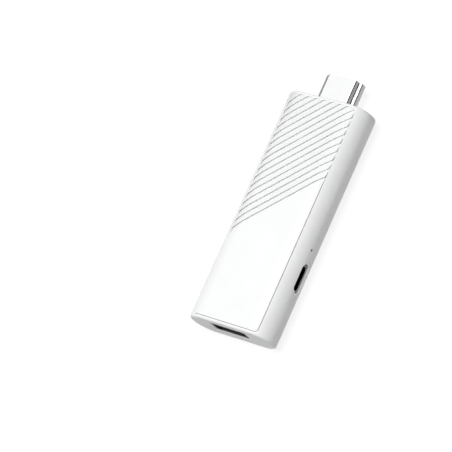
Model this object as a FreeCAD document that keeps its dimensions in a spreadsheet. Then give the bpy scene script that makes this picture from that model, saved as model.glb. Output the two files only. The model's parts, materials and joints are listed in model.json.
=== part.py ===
"""A TV streaming stick, built as the assembly that it is.

The stick lies on its back.  X runs across it, towards the side with the power slot, Y runs along
it towards the plug, and Z rises from the back to the front face.  The origin is under the middle
of the whole stick, at the level of the back.  Inside this file the places along Y are counted
from the socket end of the housing, and every piece is moved to the origin by the same amount.
All lengths are in millimetres.
"""

import FreeCAD
import Part
import Sketcher

import math
import os

# Driving dimensions: name, value, what it is.
SIZES = [
    # housing
    ("body_length", 80.6, "housing, socket end to plug end"),
    ("body_width", 31.2, "housing, side to side"),
    ("body_depth", 13.6, "housing, back to front face"),
    ("front_roll", 6.8, "radius from the front face into the sides"),
    ("side_straight", 0.8, "straight part of the side between its two rolls"),
    ("end_round", 0.8, "rounding around both end faces"),
    ("shell_wall", 1.5, "wall of the housing's back and sides"),
    ("end_wall", 1.5, "wall at both ends"),
    ("opening_side", 3.375, "housing beside the front opening"),
    ("opening_margin", 1.0, "lip left at each end of the front opening"),
    ("opening_corner", 1.3, "corner radius of the front opening"),
    ("cover_seat", 2.0, "ledge that carries the cover, below the front face"),
    ("ledge_plate", 1.0, "thickness of that ledge"),
    ("ledge_reach", 0.9, "how far the ledge reaches in under the cover"),
    ("vent_width", 1.2, "back vent slot, width"),
    ("vent_length", 18.0, "back vent slot, length"),
    ("vent_pitch", 2.4, "vent slots, centre to centre"),
    ("vent_count", 8, "back vent slots"),
    # board supports moulded in the housing
    ("boss_radius", 2.0, "screw boss"),
    ("pilot_radius", 0.7, "pilot hole in a screw boss"),
    ("pilot_depth", 2.4, "depth of the pilot hole"),
    ("boss_inset", 5.3, "screw bosses, from the housing's side"),
    ("boss_low", 16.5, "first screw boss, from the socket end"),
    ("boss_high", 14.6, "second screw boss, from the plug end"),
    ("pin_radius", 0.8, "locating pin for the board"),
    ("pin_shoulder", 1.6, "shoulder under that pin"),
    ("pin_rise", 0.7, "locating pin above the board"),
    ("rest_width", 1.2, "board rest, along the stick"),
    ("rest_depth", 1.4, "board rest, height of its gusset"),
    ("rest_reach", 2.4, "board rest, how far its gusset reaches"),
    ("rest_inset", 8.7, "first and last board rest, from the board's ends"),
    ("rest_count", 4, "board rests on each side"),
    # front cover
    ("cover_gap", 0.15, "seam beside the cover's plain part and at the socket end"),
    ("tight_gap", 0.03, "seam on the left, beside the ribs and at the plug end"),
    ("cover_skin", 1.25, "least thickness of the cover"),
    ("recess_side", 2.5, "cover rim left beside its hollow underside"),
    ("recess_end", 2.6, "cover rim left at the ends of that hollow"),
    ("hook_leg", 0.95, "snap hook, thickness of its leg"),
    ("hook_width", 4.0, "snap hook, along the stick"),
    ("hook_nose", 0.45, "snap hook, how far its nose stands out"),
    ("hook_play", 0.15, "snap hook, clearance to the ledge"),
    ("hook_drop", 1.3, "snap hook, height of its nose"),
    ("hook_land", 0.4, "snap hook, straight part of its nose"),
    ("hook_inset", 12.8, "first and last snap hook, from the cover's ends"),
    ("hook_count", 3, "snap hooks on each side"),
    ("rib_pitch", 3.0, "diagonal ribs, one to the next along the stick"),
    ("rib_step", 0.5, "height of each rib's step"),
    ("rib_count", 16, "diagonal ribs, an even number"),
    ("rib_start", 37.4, "first rib's step on the middle line, from the plug end"),
    ("rib_lead", 2.2, "slope before the first rib"),
    ("rib_lap", 0.5, "how far each rib runs in under the next one"),
    # circuit board
    ("board_side", 1.3, "gap beside the board"),
    ("board_low", 0.8, "gap between the board and the socket end's wall"),
    ("board_high", 2.1, "gap between the board and the plug end's wall"),
    ("board_drop", 8.2, "board's upper face, below the front face"),
    ("board_plate", 1.0, "thickness of the board"),
    ("board_corner", 1.0, "corner radius of the board"),
    ("hole_play", 0.12, "clearance around pins and screws in the board"),
    ("notch_play", 0.2, "clearance around the connectors in the board"),
    # HDMI plug
    ("plug_reach", 9.7, "plug, out of the housing"),
    ("plug_inside", 8.6, "plug, inside the housing's end face"),
    ("plug_width", 13.9, "plug, widest"),
    ("plug_height", 4.45, "plug, between its flat faces"),
    ("plug_flat", 10.6, "plug, narrow flat face"),
    ("plug_lean", 0.5, "plug, lean of the walls between that face and the shoulders"),
    ("plug_shoulder", 1.75, "plug, its two shoulders below the narrow flat face"),
    ("plug_rise", 0.8, "plug's middle, above the board"),
    ("plug_play", 0.15, "clearance around the plug in the end wall"),
    ("sheet", 0.3, "metal sheet of the connectors"),
    ("bend", 0.5, "outer radius of the plug's bends"),
    ("latch_width", 2.2, "latch window in the plug's wide face"),
    ("latch_length", 1.6, "latch window, along the plug"),
    ("latch_side", 3.6, "latch window, from the middle line"),
    ("latch_back", 4.4, "latch window, from the plug's tip"),
    ("block_play", 0.05, "contact block inside a connector's shell"),
    ("block_recess", 0.5, "contact block behind the plug's tip"),
    ("slit_width", 9.8, "slit in the plug's contact block"),
    ("slit_height", 2.1, "slit, height"),
    ("slit_depth", 7.6, "slit, depth"),
    ("strip_width", 0.4, "plug contact strip"),
    ("strip_plate", 0.2, "plug contact strip, thickness"),
    ("strip_pitch", 1.0, "plug contacts of one row, centre to centre"),
    ("strip_recess", 1.0, "contact strip behind the plug's tip"),
    ("front_strips", 9, "contacts on the front side of the slit"),
    ("back_strips", 10, "contacts on the back side of the slit"),
    ("channel_play", 0.06, "clearance beside a row of contacts in its slot"),
    ("foot_length", 1.6, "contact foot on the board"),
    ("strip_room", 0.6, "gap between the plug and the board for its back row of strips"),
    ("power_foot", 0.8, "power socket's contact foot"),
    ("power_foot_near", 0.4, "bend of the back row, behind the power socket"),
    ("power_foot_far", 1.6, "bend of the front row, behind the power socket"),
    # sheet metal tabs that hold connectors on the board
    ("tab_reach", 1.5, "tab, out of the shell's side"),
    ("tab_width", 1.6, "tab, along the connector"),
    ("tab_leg", 1.3, "tab's leg, into the board"),
    ("port_tab_near", 4.9, "socket's first pair of tabs, from the socket end"),
    ("port_tab_far", 11.3, "socket's second pair of tabs, from the socket end"),
    ("plug_tab", 0.8, "plug's pair of tabs, from its rear edge"),
    # USB-A socket
    ("port_width", 12.5, "socket opening"),
    ("port_height", 5.12, "socket opening"),
    ("port_rise", 2.6, "socket's middle, above the board"),
    ("port_corner", 0.6, "corner radius of the socket's shell"),
    ("port_depth", 13.6, "socket shell, front to rear"),
    ("port_recess", 0.2, "socket shell behind the end face"),
    ("port_play", 0.15, "clearance around the socket in the end wall"),
    ("tongue_width", 11.1, "socket tongue"),
    ("tongue_plate", 1.84, "socket tongue, thickness"),
    ("tongue_rise", 0.55, "socket tongue above the shell's inner face"),
    ("tongue_recess", 0.7, "socket tongue behind the shell's rim"),
    ("port_block", 4.6, "rear block of the socket"),
    ("spring_width", 1.8, "socket shell's spring finger"),
    ("spring_length", 5.0, "socket shell's spring finger"),
    ("spring_side", 3.2, "spring finger, from the middle line"),
    ("spring_gap", 0.5, "slit around the spring finger"),
    ("blade_outer", 3.5, "outer socket contacts, from the middle line"),
    ("blade_inner", 1.0, "inner socket contacts, from the middle line"),
    ("blade_width", 1.0, "socket contact"),
    ("blade_plate", 0.2, "socket contact, thickness"),
    # USB-C socket
    ("power_width", 8.94, "power socket's shell"),
    ("power_height", 3.16, "power socket's shell"),
    ("power_sheet", 0.25, "power socket's metal sheet"),
    ("power_depth", 7.3, "power socket's shell, front to rear"),
    ("power_recess", 0.75, "power socket behind the housing's side"),
    ("power_place", 22.95, "power socket's middle, from the socket end"),
    ("power_play", 0.2, "clearance in the wall above and below the power socket"),
    ("power_play_end", 0.5, "clearance in the wall at both ends of the power socket"),
    ("power_tongue_width", 6.7, "power socket's tongue"),
    ("power_tongue_plate", 0.7, "power socket's tongue, thickness"),
    ("power_tongue_recess", 0.9, "power socket's tongue behind its rim"),
    ("power_block", 1.9, "rear block of the power socket"),
    ("power_leg_near", 0.8, "power socket's rear pair of legs, from its rear edge"),
    ("power_leg_far", 3.3, "power socket's front pair of legs, from its rear edge"),
    ("pad_width", 0.26, "power socket contact"),
    ("pad_plate", 0.12, "power socket contact, thickness"),
    ("pad_pitch", 0.5, "power socket contacts, centre to centre"),
    ("pad_count", 12, "power socket contacts on one face"),
    # reset switch and its pinhole
    ("reset_place", 32.5, "pinhole, from the socket end"),
    ("reset_rise", 2.6, "pinhole above the board"),
    ("pinhole_radius", 0.5, "pinhole"),
    ("switch_width", 4.4, "reset switch, along the stick"),
    ("switch_height", 3.8, "reset switch, above the board"),
    ("switch_depth", 3.0, "reset switch, moulded body"),
    ("switch_inset", 6.4, "reset switch, rear face from the housing's side"),
    ("switch_sheet", 0.2, "reset switch, metal cover"),
    ("well_radius", 1.35, "well in the switch for the dome"),
    ("well_depth", 1.6, "depth of that well"),
    ("dome_radius", 1.1, "snap dome's rim, inside"),
    ("dome_crown", 0.5, "snap dome's flat crown, inside"),
    ("dome_rise", 0.3, "snap dome's rise"),
    ("dome_plate", 0.08, "snap dome's sheet"),
    ("button_radius", 0.8, "reset button's stem"),
    ("button_reach", 1.1, "reset button, out of its metal cover"),
    ("collar_radius", 1.15, "reset button's collar"),
    ("collar_plate", 0.5, "reset button's collar, thickness"),
    ("nib_radius", 0.4, "reset button's nib, which presses the dome"),
    ("tip_bevel", 0.2, "bevel around the reset button's tip"),
    ("running_gap", 0.08, "running clearance of the button"),
    ("button_travel", 0.25, "travel of the button"),
    # parts on the board
    ("package_foot", 0.3, "chip package, height of its wider lower half"),
    ("package_edge", 0.15, "chip package, upper half inside the lower one"),
    ("mark_radius", 0.35, "dimple that marks a chip's first contact"),
    ("mark_depth", 0.05, "that dimple's depth"),
    ("mark_inset", 0.9, "that dimple's middle, from the package's sides"),
    ("die_size", 14.0, "processor package"),
    ("die_height", 1.1, "processor package"),
    ("thermal_plate", 0.5, "thermal pad"),
    ("thermal_margin", 1.0, "thermal pad inside the processor's edge"),
    ("sink_side", 1.2, "gap between the heat sink and the snap hooks"),
    ("sink_length", 16.5, "heat sink, along the stick"),
    ("sink_base", 1.2, "heat sink, base plate"),
    ("sink_gap", 1.5, "gap between the heat sink and the cover"),
    ("fin_plate", 0.8, "heat sink, fin thickness"),
    ("fin_gaps", 8, "heat sink, channels between fins"),
    ("ram_width", 7.5, "memory chip"),
    ("ram_length", 11.0, "memory chip"),
    ("ram_height", 1.0, "memory chip"),
    ("flash_width", 11.5, "storage chip"),
    ("flash_length", 13.0, "storage chip"),
    ("flash_height", 0.9, "storage chip"),
    ("regulator_size", 5.0, "power chip"),
    ("regulator_height", 0.85, "power chip"),
    ("coil_size", 3.0, "power inductor"),
    ("coil_height", 1.4, "power inductor"),
    ("coil_gap", 0.8, "gap between the parts of the power row"),
    ("coil_count", 3, "power inductors"),
    ("bypass_width", 0.8, "bypass capacitor"),
    ("bypass_length", 1.6, "bypass capacitor"),
    ("bypass_height", 0.8, "bypass capacitor"),
    ("bypass_gap", 1.2, "gap between bypass capacitors"),
    ("bypass_count", 8, "bypass capacitors"),
    ("inlet_width", 1.6, "input capacitor"),
    ("inlet_length", 3.2, "input capacitor"),
    ("inlet_height", 1.4, "input capacitor"),
    ("inlet_inset", 1.6, "input capacitors, from the board's edge"),
    ("inlet_start", 1.6, "gap between the reset switch and the first input capacitor"),
    ("inlet_gap", 1.0, "gap between input capacitors"),
    ("inlet_count", 2, "input capacitors"),
    ("crystal_width", 2.5, "clock crystal"),
    ("crystal_length", 3.2, "clock crystal"),
    ("crystal_height", 0.8, "clock crystal"),
    ("crystal_gap", 1.3, "gap between the processor and the clock crystal"),
    ("radio_width", 12.0, "wireless module"),
    ("radio_length", 7.0, "wireless module"),
    ("radio_plate", 0.6, "wireless module's own board"),
    ("shield_margin", 0.6, "shield inside the module's edge"),
    ("shield_height", 1.3, "shield above the module's board"),
    ("shield_sheet", 0.15, "shield's metal sheet"),
    ("aerial_width", 1.6, "chip aerial"),
    ("aerial_length", 3.2, "chip aerial"),
    ("aerial_height", 1.0, "chip aerial"),
    ("aerial_inset", 0.9, "chip aerial, from the board's edges"),
    # screws
    ("screw_radius", 0.65, "board screw's shank"),
    ("screw_head_radius", 1.5, "board screw's head"),
    ("screw_head", 1.0, "board screw's head, height"),
    ("screw_bevel", 0.4, "board screw's head, bevel"),
    ("screw_length", 3.2, "board screw, under its head"),
    ("screw_recess", 0.7, "cross recess, width across"),
    ("screw_recess_arm", 0.25, "cross recess, width of an arm"),
    ("screw_recess_depth", 0.5, "cross recess, depth"),
]

OVER = 1.0  # how far a cut runs past the face that it opens
SEAT = 0.3  # how far one feature is rooted in the next
NEAR = 1e-3  # places closer together than this are the same


class Size:
    """A number together with the sheet expression that gives it."""

    def __init__(self, number, text):
        self.number = float(number)
        self.text = text

    def __add__(self, other):
        other = as_size(other)
        return Size(self.number + other.number, f"({self.text} + {other.text})")

    def __sub__(self, other):
        other = as_size(other)
        return Size(self.number - other.number, f"({self.text} - {other.text})")

    def __mul__(self, other):
        other = as_size(other)
        return Size(self.number * other.number, f"({self.text} * {other.text})")

    def __truediv__(self, other):
        other = as_size(other)
        return Size(self.number / other.number, f"({self.text} / {other.text})")

    def __neg__(self):
        return Size(-self.number, f"(-1 * {self.text})")

    def __radd__(self, other):
        return as_size(other) + self

    def __rmul__(self, other):
        return as_size(other) * self

    def __rsub__(self, other):
        return as_size(other) - self


def as_size(value):
    """Any number as a Size, so that plain factors can be mixed in."""
    if isinstance(value, Size):
        return value
    return Size(value, repr(float(value)))


def root(value):
    """The square root of a Size."""
    return Size(math.sqrt(value.number), f"sqrt({value.text})")


class Sheet:
    """The document's sheet of sizes, read by name."""

    def __init__(self, document):
        self.numbers = {}
        table = document.addObject("Spreadsheet::Sheet", "Sizes")
        for line, (name, number, meaning) in enumerate(SIZES, start=1):
            table.set(f"A{line}", name)
            table.set(f"B{line}", str(number))
            table.setAlias(f"B{line}", name)
            table.set(f"C{line}", meaning)
            self.numbers[name] = number

    def __getattr__(self, name):
        return Size(self.numbers[name], f"Sizes.{name}")


document = FreeCAD.newDocument("streaming_stick")
dim = Sheet(document)
document.recompute()

# The amount that brings places counted from the socket end to the origin.
SHIFT = -(dim.body_length + dim.plug_reach) / 2


def new_body(name, separate=False):
    """A body named after its node, moved to the origin by the common shift.

    It is one solid, unless it is said to be a group of separate ones.
    """
    body = document.addObject("PartDesign::Body", name)
    body.Label = name
    body.AllowCompound = separate
    body.setExpression("Placement.Base.y", SHIFT.text)
    return body


def origin_feature(body, role):
    """One of the body's own origin planes or axes."""
    for feature in body.Origin.OriginFeatures:
        if feature.Role == role:
            return feature
    raise ValueError(role)


def new_sketch(body, name, plane, at=0.0):
    """A sketch on an origin plane, moved along the axis that the plane crosses."""
    sketch = body.newObject("Sketcher::SketchObject", f"{body.Name}_{name}")
    sketch.AttachmentSupport = [(origin_feature(body, f"{plane}_Plane"), "")]
    sketch.MapMode = "FlatFace"
    place = as_size(at)
    if plane == "XZ":
        place = -place
    sketch.setExpression("AttachmentOffset.Base.z", place.text)
    return sketch


def bind(sketch, constraints):
    """Add constraints, each a Sketcher constraint with the Size that drives it."""
    first = sketch.ConstraintCount
    sketch.addConstraint([constraint for constraint, driver in constraints])
    for number, (constraint, driver) in enumerate(constraints, start=first):
        if driver is not None:
            sketch.setExpression(f"Constraints[{number}]", driver.text)


def pin_point(element, end, x, y):
    """Constraints that hold one end of an element at a place given by two Sizes."""
    held = []
    for kind, axis, value in (("DistanceX", -2, x), ("DistanceY", -1, y)):
        value = as_size(value)
        if value.number == 0.0:
            held.append((Sketcher.Constraint("PointOnObject", element, end, axis), None))
        else:
            rule = Sketcher.Constraint(kind, -1, 1, element, end, value.number)
            held.append((rule, value))
    return held


def outline(sketch, corners):
    """Draw a closed outline.

    A corner is (x, y) or (x, y, radius).  A radius turns the stretch from that corner to the
    next into an arc that bulges to the left of the way along, or to the right if negative.
    """
    count = len(corners)
    first = sketch.GeometryCount
    shapes = []
    ends = []
    for number, corner in enumerate(corners):
        start = FreeCAD.Vector(as_size(corner[0]).number, as_size(corner[1]).number, 0)
        after = corners[(number + 1) % count]
        stop = FreeCAD.Vector(as_size(after[0]).number, as_size(after[1]).number, 0)
        if len(corner) == 2:
            shapes.append(Part.LineSegment(start, stop))
            ends.append((1, 2))
            continue
        radius = as_size(corner[2]).number
        chord = stop - start
        middle = (start + stop) / 2
        aside = FreeCAD.Vector(-chord.y, chord.x, 0).normalize()
        rise = abs(radius) - math.sqrt(max(radius ** 2 - (chord.Length / 2) ** 2, 0.0))
        crest = middle + aside * math.copysign(rise, radius)
        shapes.append(Part.Arc(start, crest, stop))
        ends.append((1, 2) if radius < 0 else (2, 1))
    sketch.addGeometry(shapes, False)
    rules = []
    for number, corner in enumerate(corners):
        element = first + number
        after = first + (number + 1) % count
        stop_end = ends[number][1]
        start_end = ends[(number + 1) % count][0]
        rules.append((Sketcher.Constraint("Coincident", element, stop_end, after, start_end), None))
    for number, corner in enumerate(corners):
        element = first + number
        rules += pin_point(element, ends[number][0], corner[0], corner[1])
        if len(corner) == 3:
            radius = as_size(corner[2])
            if radius.number < 0:
                radius = -radius
            rules.append((Sketcher.Constraint("Radius", element, radius.number), radius))
    bind(sketch, rules)


def on_both_sides(sketch, corners):
    """Draw an outline and its mirror image about the middle line."""
    outline(sketch, corners)
    outline(sketch, [(-as_size(x), y) for x, y in corners])


def rectangle(sketch, left, low, right, high):
    """Draw a rectangle from the places of its four sides."""
    outline(sketch, [(left, low), (right, low), (right, high), (left, high)])


def rounded_rectangle(sketch, left, low, right, high, radius):
    """Draw a rectangle with round corners."""
    outline(sketch, [
        (left, high - radius, radius),
        (left + radius, high),
        (right - radius, high, radius),
        (right, high - radius),
        (right, low + radius, radius),
        (right - radius, low),
        (left + radius, low, radius),
        (left, low + radius),
    ])


def stadium(sketch, left, low, right, high):
    """Draw a slot with half-round ends that runs along the sketch's first axis."""
    radius = (high - low) / 2
    middle = low + radius
    outline(sketch, [
        (left + radius, high),
        (right - radius, high, radius),
        (right, middle, radius),
        (right - radius, low),
        (left + radius, low, radius),
        (left, middle, radius),
    ])


def circle(sketch, x, y, radius):
    """Draw a circle about a place given by two Sizes."""
    centre = FreeCAD.Vector(as_size(x).number, as_size(y).number, 0)
    shape = Part.Circle(centre, FreeCAD.Vector(0, 0, 1), as_size(radius).number)
    element = sketch.addGeometry(shape, False)
    rules = pin_point(element, 3, x, y)
    rules.append((Sketcher.Constraint("Radius", element, as_size(radius).number), as_size(radius)))
    bind(sketch, rules)


def crosses_y(sketch):
    """True for a sketch on the XZ plane, whose normal points backwards along Y."""
    return sketch.AttachmentSupport[0][0].Role == "XZ_Plane"


def pad(body, sketch, length):
    """Raise a sketch into a solid, towards the positive side of the axis it crosses."""
    feature = body.newObject("PartDesign::Pad", f"{sketch.Name}_pad")
    feature.Profile = sketch
    feature.Reversed = crosses_y(sketch)
    feature.setExpression("Length", as_size(length).text)
    return feature


def pocket(body, sketch, length):
    """Cut a sketch out of the body, towards the positive side of the axis it crosses."""
    feature = body.newObject("PartDesign::Pocket", f"{sketch.Name}_cut")
    feature.Profile = sketch
    feature.Reversed = not crosses_y(sketch)
    feature.setExpression("Length", as_size(length).text)
    return feature


def slanted_pad(body, sketch, name, across, along, up):
    """Carry a sketch along a slanting line, given by its three parts."""
    feature = body.newObject("PartDesign::Pad", f"{body.Name}_{name}")
    feature.Profile = sketch
    feature.UseCustomVector = True
    feature.AlongSketchNormal = False
    steps = [as_size(across), as_size(along), as_size(up)]
    feature.Direction = FreeCAD.Vector(*[step.number for step in steps])
    for axis, step in zip("xyz", steps):
        feature.setExpression(f"Direction.{axis}", step.text)
    squares = steps[0] * steps[0] + steps[1] * steps[1] + steps[2] * steps[2]
    feature.setExpression("Length", root(squares).text)
    return feature


def row(body, features, axis, pitch, count):
    """Repeat features in a row along one of the body's axes."""
    pattern = body.newObject("PartDesign::LinearPattern", f"{features[0].Name}_row")
    pattern.Originals = features
    pattern.Direction = (origin_feature(body, f"{axis}_Axis"), [""])
    pattern.setExpression("Length", (pitch * (count - 1)).text)
    pattern.setExpression("Occurrences", count.text)
    body.Tip = pattern
    return pattern


def round_edges(body, chosen, radius, name):
    """Fillet those edges of the body that the test picks."""
    document.recompute()
    base = body.Tip
    names = [f"Edge{number}" for number, edge in enumerate(base.Shape.Edges, start=1) if chosen(edge)]
    if not names:
        raise RuntimeError(f"no edge to round on {name}")
    feature = body.newObject("PartDesign::Fillet", f"{body.Name}_{name}")
    feature.Base = (base, names)
    feature.setExpression("Radius", radius.text)
    body.Tip = feature
    return feature


def lies_at(edge, axis, place):
    """True if every point of the edge has the same given place along an axis."""
    box = edge.BoundBox
    low = getattr(box, f"{axis}Min")
    high = getattr(box, f"{axis}Max")
    return abs(low - place.number) < NEAR and abs(high - place.number) < NEAR


def runs_along(edge, axis):
    """True for a straight edge along an axis."""
    box = edge.BoundBox
    spans = {name: getattr(box, f"{name}Length") for name in "XYZ"}
    others = [span for name, span in spans.items() if name != axis]
    return spans[axis] > NEAR and max(others) < NEAR


def box(name, x, y, z, size):
    """A block centred on x and y that stands on z, of a given width, length and height."""
    wide, long, high = size
    block = document.addObject("Part::Box", name)
    block.setExpression("Length", as_size(wide).text)
    block.setExpression("Width", as_size(long).text)
    block.setExpression("Height", as_size(high).text)
    block.setExpression("Placement.Base.x", (as_size(x) - as_size(wide) / 2).text)
    block.setExpression("Placement.Base.y", (SHIFT + as_size(y) - as_size(long) / 2).text)
    block.setExpression("Placement.Base.z", as_size(z).text)
    return block


# Places that several pieces share.
HALF = dim.body_width / 2
BACK_ROLL = dim.body_depth - dim.front_roll - dim.side_straight
LEDGE_TOP = dim.body_depth - dim.cover_seat
CEILING = LEDGE_TOP - dim.ledge_plate
OPENING_HALF = HALF - dim.opening_side
WINDOW_HALF = OPENING_HALF - dim.ledge_reach
WINDOW_LOW = dim.opening_margin + dim.ledge_reach
COVER_HALF = OPENING_HALF - dim.cover_gap
COVER_LOW = dim.opening_margin + dim.cover_gap
COVER_HIGH = dim.body_length - COVER_LOW
TIGHT_HALF = OPENING_HALF - dim.tight_gap
TIGHT_HIGH = dim.body_length - dim.opening_margin - dim.tight_gap
FIRST_RIB = dim.body_length - dim.rib_start
COVER_UNDER = dim.body_depth - dim.rib_step / 2 - dim.cover_skin
HOOK_OUTER = WINDOW_HALF - dim.hook_play
HOOK_INNER = HOOK_OUTER - dim.hook_leg

BOARD_TOP = dim.body_depth - dim.board_drop
BOARD_UNDER = BOARD_TOP - dim.board_plate
BOARD_HALF = HALF - dim.shell_wall - dim.board_side
BOARD_LOW = dim.end_wall + dim.board_low
BOARD_HIGH = dim.body_length - dim.end_wall - dim.board_high
BOSS_SIDE = HALF - dim.boss_inset
BOSS_LOW = dim.boss_low
BOSS_HIGH = dim.body_length - dim.boss_high

PLUG_LEVEL = BOARD_TOP + dim.plug_rise
PLUG_TIP = dim.body_length + dim.plug_reach
PLUG_REAR = dim.body_length - dim.plug_inside
PLUG_NOTCH = PLUG_REAR - dim.strip_room
PLUG_FEET = PLUG_NOTCH - dim.foot_length
PORT_LEVEL = BOARD_TOP + dim.port_rise
PORT_REAR = dim.port_recess + dim.port_depth
PORT_NOTCH = PORT_REAR + dim.notch_play
PORT_FEET = PORT_NOTCH + dim.foot_length
POWER_LEVEL = BOARD_TOP + dim.power_height / 2
POWER_MOUTH = HALF - dim.power_recess
POWER_REAR = POWER_MOUTH - dim.power_depth
POWER_FEET = POWER_REAR - dim.power_foot_far - dim.power_foot

# Places along X of the reset switch, from its rear face outwards, and the height of its axis.
SWITCH_BACK = HALF - dim.switch_inset
SWITCH_FACE = SWITCH_BACK + dim.switch_depth
WELL_FLOOR = SWITCH_FACE - dim.well_depth
BUTTON_TIP = SWITCH_FACE + dim.switch_sheet + dim.button_reach
COLLAR_FACE = SWITCH_FACE - dim.running_gap
RESET_LEVEL = BOARD_TOP + dim.reset_rise

# Five rows of parts are spread evenly between the socket's and the plug's feet.
ROWS = [dim.ram_length, dim.bypass_length, dim.die_size, dim.regulator_size, dim.radio_length]
SPREAD = (PLUG_FEET - PORT_FEET - sum(ROWS)) / (len(ROWS) + 1)
RAM_PLACE = PORT_FEET + SPREAD + dim.ram_length / 2
BYPASS_PLACE = RAM_PLACE + dim.ram_length / 2 + SPREAD + dim.bypass_length / 2
DIE_PLACE = BYPASS_PLACE + dim.bypass_length / 2 + SPREAD + dim.die_size / 2
POWER_PLACE = DIE_PLACE + dim.die_size / 2 + SPREAD + dim.regulator_size / 2
RADIO_PLACE = POWER_PLACE + dim.regulator_size / 2 + SPREAD + dim.radio_length / 2
SINK_LEVEL = BOARD_TOP + dim.die_height + dim.thermal_plate


def housing_section(sketch, wall):
    """The housing's cross-section, drawn inside its outer face by a wall."""
    side = HALF - wall
    front = dim.front_roll - wall
    back = BACK_ROLL - wall
    outline(sketch, [
        (-(HALF - dim.front_roll), dim.body_depth - wall),
        (HALF - dim.front_roll, dim.body_depth - wall, front),
        (side, dim.body_depth - dim.front_roll),
        (side, BACK_ROLL, back),
        (HALF - BACK_ROLL, as_size(wall)),
        (-(HALF - BACK_ROLL), as_size(wall), back),
        (-side, BACK_ROLL),
        (-side, dim.body_depth - dim.front_roll, front),
    ])


def cavity_section(sketch):
    """The housing's inside: its walls follow the outer face, under a flat ceiling."""
    wall = dim.shell_wall
    side = HALF - wall
    front = dim.front_roll - wall
    back = BACK_ROLL - wall
    rise = CEILING - (dim.body_depth - dim.front_roll)
    edge = HALF - dim.front_roll + root(front * front - rise * rise)
    outline(sketch, [
        (-edge, CEILING),
        (edge, CEILING, front),
        (side, dim.body_depth - dim.front_roll),
        (side, BACK_ROLL, back),
        (HALF - BACK_ROLL, wall),
        (-(HALF - BACK_ROLL), wall, back),
        (-side, BACK_ROLL),
        (-side, dim.body_depth - dim.front_roll, front),
    ])


def plug_corners(inset):
    """Right-hand corners of the plug's outline, from its narrow front side to its back."""
    slope = root(dim.plug_lean * dim.plug_lean + dim.plug_shoulder * dim.plug_shoulder)
    # an inset moves both ends of the leaning wall sideways by the same amount
    aside = inset * (slope - dim.plug_lean) / dim.plug_shoulder
    flat = dim.plug_flat / 2 - aside
    side = dim.plug_width / 2 - inset
    top = PLUG_LEVEL + dim.plug_height / 2 - inset
    return [
        (flat, top),
        (flat + dim.plug_lean, top - dim.plug_shoulder),
        (side, top - dim.plug_shoulder),
        (side, PLUG_LEVEL - dim.plug_height / 2 + inset),
    ]


def plug_section(sketch, inset):
    """The plug's outline, narrow side to the front, drawn inside its outer face by an inset."""
    right = plug_corners(inset)
    left = [(-x, z) for x, z in reversed(right)]
    outline(sketch, right + left)


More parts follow.
